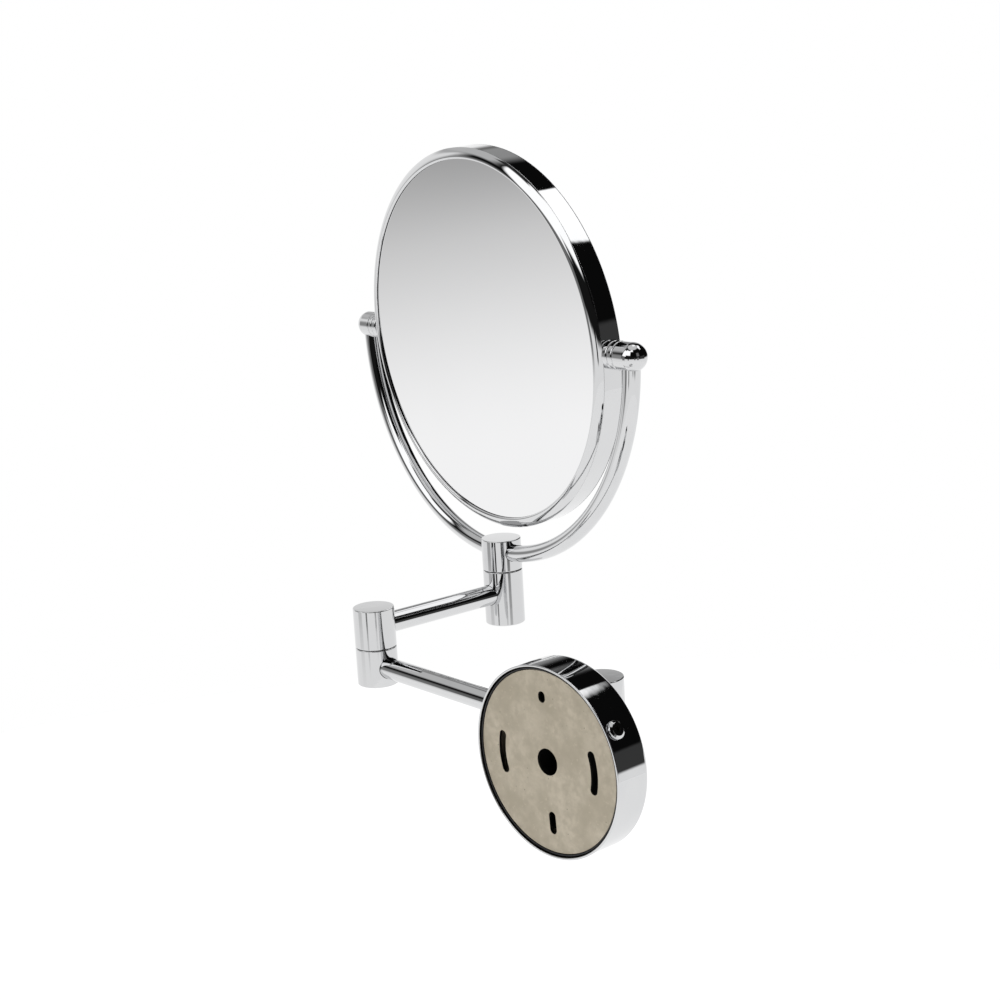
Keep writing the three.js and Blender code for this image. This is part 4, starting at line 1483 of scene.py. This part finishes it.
@dataclass
class MirrorHead:
    """The rim band, a bezel on each face, the two glasses and the inner collar rings."""

    bench: Bench
    pivot: Vector
    axis: Vector
    ring_tree: CollarRingTree
    tilt: float = -3.7
    rim: float = 99.99
    wall: float = 1.2
    half_width: float = 5.55
    edge: float = 8.5
    crest: float = 95.5
    inner_tilt: float = 12.0
    outer_tilt: float = 50.0
    lip_radius: float = 94.4
    lip: float = 0.95
    skirt: float = 0.9
    glass: float = 96.5
    face: float = 7.2
    thickness: float = 2.5
    dish: float = 5.4
    dish_thickness: float = 2.3
    ring_start: float = 100.3
    ring_width: float = 3.6
    flats: int = 480

    @property
    def axes(self) -> Matrix:
        """The head's own axes: X along the pivot, Y out of the plain face."""
        return axes_along(self.axis, self.pivot) @ turned(self.tilt, "X")

    @property
    def plain_side(self) -> Matrix:
        """Axes of the discs, with Z out of the plain face."""
        return self.axes @ turned(-90, "X")

    @property
    def magnifying_side(self) -> Matrix:
        """Axes of the discs, with Z out of the magnifying face."""
        return self.axes @ turned(90, "X")

    def build(self) -> None:
        """Makes every piece of the head."""
        self._band()
        self._bezel("bezel_plain_side", self.plain_side)
        self._bezel("bezel_magnifying_side", self.magnifying_side)
        self._plain_glass()
        self._magnifying_glass()
        self._rings()
        finishes = self.bench.finishes
        for node in ("trunnion_screw_right", "trunnion_screw_left"):
            self.bench.keep(node, finishes.steel)
        self.bench.keep("glass_spacer_ring", finishes.plastic)
        self.bench.keep("plain_glass_pad", finishes.foam)

    def _band(self) -> None:
        """The polished band round the head."""
        inner = self.rim - self.wall
        band = lathe("rim_band_polished", closed_outline([
            (inner, 0.0, 0.0), (inner, -self.half_width, 0.1), (self.rim, -self.half_width, 0.2),
            (self.rim, self.half_width, 0.2), (inner, self.half_width, 0.1),
        ]), self.flats, ring=True)
        self.bench.fit(polish(band), self.plain_side, Body.MIRROR_HEAD, Slot.CHROME, ["rim_band"],
                       [self.bench.finishes.chrome])

    def _bezel(self, node: str, placing: Matrix) -> None:
        """The ring that closes one face: a narrow crest by the glass and a wide rounded shoulder."""
        seat = self.half_width + SEAM
        skirt_outer = self.rim - self.wall - GAP
        skirt_inner = self.glass + GAP
        under_lip = self.edge - self.lip
        inner, outer = math.radians(self.inner_tilt), math.radians(self.outer_tilt)
        bend = (self.rim - self.crest) / (math.sin(outer) - math.sin(inner))
        centre = (self.crest - bend * math.sin(inner), self.edge - bend * math.cos(inner))
        shoulder = arc(centre, bend, 90.0 - self.outer_tilt, 90.0 - self.inner_tilt, 16)
        slope = oval_arc((self.crest, under_lip), (self.crest - self.lip_radius, self.lip), 90.0, 180.0, 10)
        skirt = [(skirt_inner, under_lip), (skirt_inner, seat - self.skirt), (skirt_outer, seat - self.skirt),
                 (skirt_outer, seat), (self.rim, seat)]
        ring = lathe(node + "_ring", [*skirt, *shoulder, *slope[1:]], self.flats, ring=True)
        self.bench.fit(polish(ring), placing, Body.MIRROR_HEAD, Slot.CHROME,
                       [node], [self.bench.finishes.chrome])

    def _plain_glass(self) -> None:
        """The flat glass with its ground bevel."""
        back = self.face - self.thickness
        bevel = 0.5
        pane = lathe("plain_glass_pane", rounded([
            (0.0, self.face, 0.0), (self.glass - bevel, self.face, 0.0), (self.glass, self.face - bevel, 0.0),
            (self.glass, back, 0.2), (0.0, back, 0.0),
        ]), self.flats)
        self._fit_glass(pane, self.plain_side, "plain_glass")

    def _magnifying_glass(self) -> None:
        """The dished glass."""
        steps = 40
        radii = [self.glass * step / steps for step in range(steps + 1)]
        front = [(r, self.face - self.dish * (1 - (r / self.glass) ** 2)) for r in radii]
        back = [(r, z - self.dish_thickness) for r, z in reversed(front)]
        pane = lathe("magnifying_glass_pane", [*front, *back], self.flats)
        self._fit_glass(pane, self.magnifying_side, "magnifying_glass")

    def _fit_glass(self, pane: bpy.types.Object, placing: Matrix, node: str) -> None:
        """Silvers a pane's front and grinds its edge."""
        finishes = self.bench.finishes
        self.bench.fit(polish(pane, crease=20), placing, Body.MIRROR_HEAD, Slot.MIRROR_GLASS, [node],
                       [finishes.glass, finishes.glass_edge], lambda face: int(face.normal.z < 0.9))

    def _rings(self) -> None:
        """The inner collar ring on each side, which turns with the rim."""
        rings = self.ring_tree.grow("collar_rings_inner", {
            "Outer Radius": 7.2, "Width": self.ring_width, "Middle": self.ring_start + self.ring_width / 2,
        })
        self.bench.fit(polish(outward(rings)), self.axes, Body.MIRROR_HEAD, Slot.CHROME,
                       ["collar_ring_inner_right", "collar_ring_inner_left"], [self.bench.finishes.chrome])


# ---------------------------------------------------------------- studio


@dataclass(frozen=True)
class Card:
    """A light or dark card of the studio, by its direction from the mirror, in degrees."""

    azimuth: float
    elevation: float
    half_width: float
    half_height: float
    level: float
    softness: float = 4.0


@dataclass
class Studio:
    """A pale floor under a soft tent of light and dark cards, and the camera."""

    floor_level: float = -0.42
    floor_radius: float = 1.3
    view_point: Vector = field(default_factory=lambda: Vector((-0.55568, 0.51896, 0.28806)))
    yaw: float = -47.946
    pitch: float = -12.624
    roll: float = -3.287
    lens: float = 66.80
    cards: tuple[Card, ...] = (
        Card(0.0, 90.0, 400.0, 27.0, 0.75, 3.0),
        Card(-70.0, 73.0, 22.0, 8.0, 1.5, 2.0),
        Card(-110.0, 54.5, 23.0, 6.5, 1.55, 1.0),
        Card(-127.0, 48.0, 7.0, 5.0, 1.55, 1.0),
        Card(-48.0, 0.0, 21.0, 18.0, 1.0, 5.0),
        Card(-38.0, 31.0, 26.0, 9.0, 0.34, 4.0),
        Card(-2.0, 8.0, 28.0, 18.0, 1.0, 6.0),
        Card(12.0, 42.0, 28.0, 16.0, 0.62, 5.0),
        Card(80.0, 32.0, 34.0, 22.0, 1.5, 2.0),
        Card(50.0, 56.0, 18.0, 9.0, 0.03, 3.0),
        Card(100.0, 6.0, 22.0, 13.0, 0.01, 3.0),
        Card(125.0, 55.0, 14.0, 7.0, 1.5, 2.0),
        Card(176.0, 22.0, 10.0, 12.0, 0.20, 5.0),
        Card(-150.0, -2.0, 25.0, 9.0, 0.05, 1.5),
        Card(150.0, 0.0, 42.0, 9.0, 0.01, 3.0),
        Card(99.0, -8.0, 4.0, 8.5, 0.01, 1.5),
        Card(150.0, -8.0, 4.0, 8.0, 0.08, 1.5),
        Card(174.0, -8.0, 8.0, 8.5, 0.20, 3.0),
        Card(58.0, -3.0, 12.0, 12.0, 0.20, 4.0),
        Card(28.0, 1.0, 12.0, 10.0, 0.32, 6.5),
    )

    def build(self) -> None:
        """Sets the floor, the light and the camera."""
        self._camera()
        self._floor()
        self._light()
        bpy.context.scene.view_settings.view_transform = "Standard"

    def _camera(self) -> None:
        """Stands the camera behind the plate, looking down a little along the arms."""
        yaw, pitch = math.radians(self.yaw), math.radians(self.pitch)
        ahead = Vector((-math.sin(yaw) * math.cos(pitch), -math.cos(yaw) * math.cos(pitch), math.sin(pitch)))
        level = ahead.cross(Vector((0.0, 0.0, 1.0))).normalized()
        upward = level.cross(ahead)
        roll = math.radians(self.roll)
        right = level * math.cos(roll) + upward * math.sin(roll)
        up = upward * math.cos(roll) - level * math.sin(roll)
        data = bpy.data.cameras.new("camera")
        data.lens = self.lens
        full_frame_width = 36.0
        data.sensor_width = full_frame_width
        camera = bpy.data.objects.new("camera", data)
        bpy.context.scene.collection.objects.link(camera)
        facing = Matrix((right, up, -ahead)).transposed().to_4x4()
        camera.matrix_world = Matrix.Translation(self.view_point) @ facing
        bpy.context.scene.camera = camera

    def _floor(self) -> None:
        """A round pale floor well below the mirror."""
        rim = [(x, y, self.floor_level) for x, y in arc((0, 0), self.floor_radius, 0, 357.5, 143)]
        floor = mesh_object("studio_floor", rim, [list(range(len(rim)))])
        material = bpy.data.materials.new("pale_floor")
        material.use_nodes = True
        shader = material.node_tree.nodes["Principled BSDF"]
        shader.inputs["Base Color"].default_value = (0.25, 0.25, 0.25, 1.0)
        shader.inputs["Roughness"].default_value = 0.9
        shader.inputs["Emission Color"].default_value = (1.0, 1.0, 1.0, 1.0)
        shader.inputs["Emission Strength"].default_value = 0.92
        floor.data.materials.append(material)
        floor.location = (0.12, -0.1, 0.0)
        LOG.info("floor laid at %.2f m", self.floor_level)

    @staticmethod
    def _card_mask() -> bpy.types.NodeTree:
        """A group that says how far a direction falls on a card."""
        tree = bpy.data.node_groups.new("card_mask", "ShaderNodeTree")
        names = ("Azimuth", "Elevation", "Centre Azimuth", "Centre Elevation",
                 "Half Width", "Half Height", "Softness")
        for name in names:
            tree.interface.new_socket(name, in_out="INPUT", socket_type="NodeSocketFloat")
        tree.interface.new_socket("Mask", in_out="OUTPUT", socket_type="NodeSocketFloat")
        board = Board(tree)
        given = board.node("NodeGroupInput").outputs
        share: object = 1.0
        for place, centre, half in (("Azimuth", "Centre Azimuth", "Half Width"),
                                    ("Elevation", "Centre Elevation", "Half Height")):
            away = board.math("SUBTRACT", given[place], given[centre])
            wrapped = board.node("ShaderNodeMath", operation="WRAP")
            board.feed(away, wrapped.inputs[0])
            wrapped.inputs[1].default_value = 180.0
            wrapped.inputs[2].default_value = -180.0
            distance = board.math("ABSOLUTE", wrapped.outputs[0])
            start = board.math("SUBTRACT", given[half], given["Softness"])
            end = board.math("ADD", given[half], given["Softness"])
            share = board.math("MULTIPLY", board.ramp(distance, start, end, 1.0, 0.0), share)
        board.feed(share, board.node("NodeGroupOutput").inputs[0])
        return tree

    def _light(self) -> None:
        """The tent: white below, dark above, with its cards; plain white straight to the camera."""
        world = bpy.data.worlds.new("studio_light")
        bpy.context.scene.world = world
        world.use_nodes = True
        board = Board(world.node_tree)
        where = board.node("ShaderNodeTexCoord")
        parts = board.node("ShaderNodeSeparateXYZ")
        board.feed(where.outputs["Generated"], parts.inputs[0])
        turn = board.math("ARCTAN2", parts.outputs[1], parts.outputs[0])
        azimuth = board.math("MULTIPLY", turn, 180 / math.pi)
        elevation = board.math("MULTIPLY", board.math("ARCSINE", parts.outputs[2]), 180 / math.pi)
        bright_below, dark_above = -9.0, -3.0
        bright, dark = 1.0, 0.004
        level = board.ramp(elevation, bright_below, dark_above, bright, dark)
        mask_tree = self._card_mask()
        for card in self.cards:
            mask = board.place(
                mask_tree, azimuth=azimuth, elevation=elevation, centre_azimuth=card.azimuth,
                centre_elevation=card.elevation, half_width=card.half_width, half_height=card.half_height,
                softness=card.softness,
            ).outputs[0]
            kept = board.math("MULTIPLY", level, board.math("SUBTRACT", 1.0, mask))
            level = board.math("ADD", kept, board.math("MULTIPLY", mask, card.level))
        seen = board.node("ShaderNodeLightPath").outputs["Is Camera Ray"]
        shown = board.mix(seen, board.mix(level, (0.0, 0.0, 0.0), (1.0, 1.0, 1.0)), (1.0, 1.0, 1.0))
        background = world.node_tree.nodes["Background"]
        board.feed(shown, background.inputs["Color"])
        strength = board.math("MAXIMUM", level, 1.0)
        lit = board.math("ADD", board.math("MULTIPLY", strength, board.math("SUBTRACT", 1.0, seen)), seen)
        board.feed(lit, background.inputs["Strength"])


# ---------------------------------------------------------------- assembly


def main() -> None:
    """Builds the studio and every sub-assembly in order."""
    logging.basicConfig(level=logging.INFO, format="%(name)s: %(message)s")
    Studio().build()
    finishes = Finishes(Effects())
    bench = Bench(finishes)
    rod_tree = BentRodTree(finishes.chrome)
    ring_tree = CollarRingTree(finishes.chrome)
    wall_hinge = joint_position("wall_swing")
    elbow = joint_position("elbow_swing")
    yoke_hinge = joint_position("yoke_swivel")
    pivot = joint_position("mirror_tilt")
    pivot_axis = joint_axis("mirror_tilt")
    WallPlate(bench).build()
    SwingArm(
        bench, Body.LOWER_ARM, wall_hinge, elbow,
        Barrel("lower_arm_wall_barrel", BarrelEnd.BUSH, BarrelEnd.BUSH),
        Barrel("lower_arm_elbow_barrel", BarrelEnd.BOLT_POCKET, BarrelEnd.WASHER),
        "lower_arm_tube", "elbow", ("wall_hinge_bush_upper", "wall_hinge_bush_lower"),
    ).build()
    SwingArm(
        bench, Body.UPPER_ARM, elbow, yoke_hinge,
        Barrel("upper_arm_elbow_barrel", BarrelEnd.THREAD, BarrelEnd.CLOSED),
        Barrel("upper_arm_mirror_barrel", BarrelEnd.BOLT_POCKET, BarrelEnd.WASHER),
        "upper_arm_tube", "yoke_hinge",
    ).build()
    Yoke(bench, yoke_hinge, pivot_axis, pivot.z, rod_tree, ring_tree).build()
    MirrorHead(bench, pivot, pivot_axis, ring_tree).build()


if __name__ == "__main__":
    main()
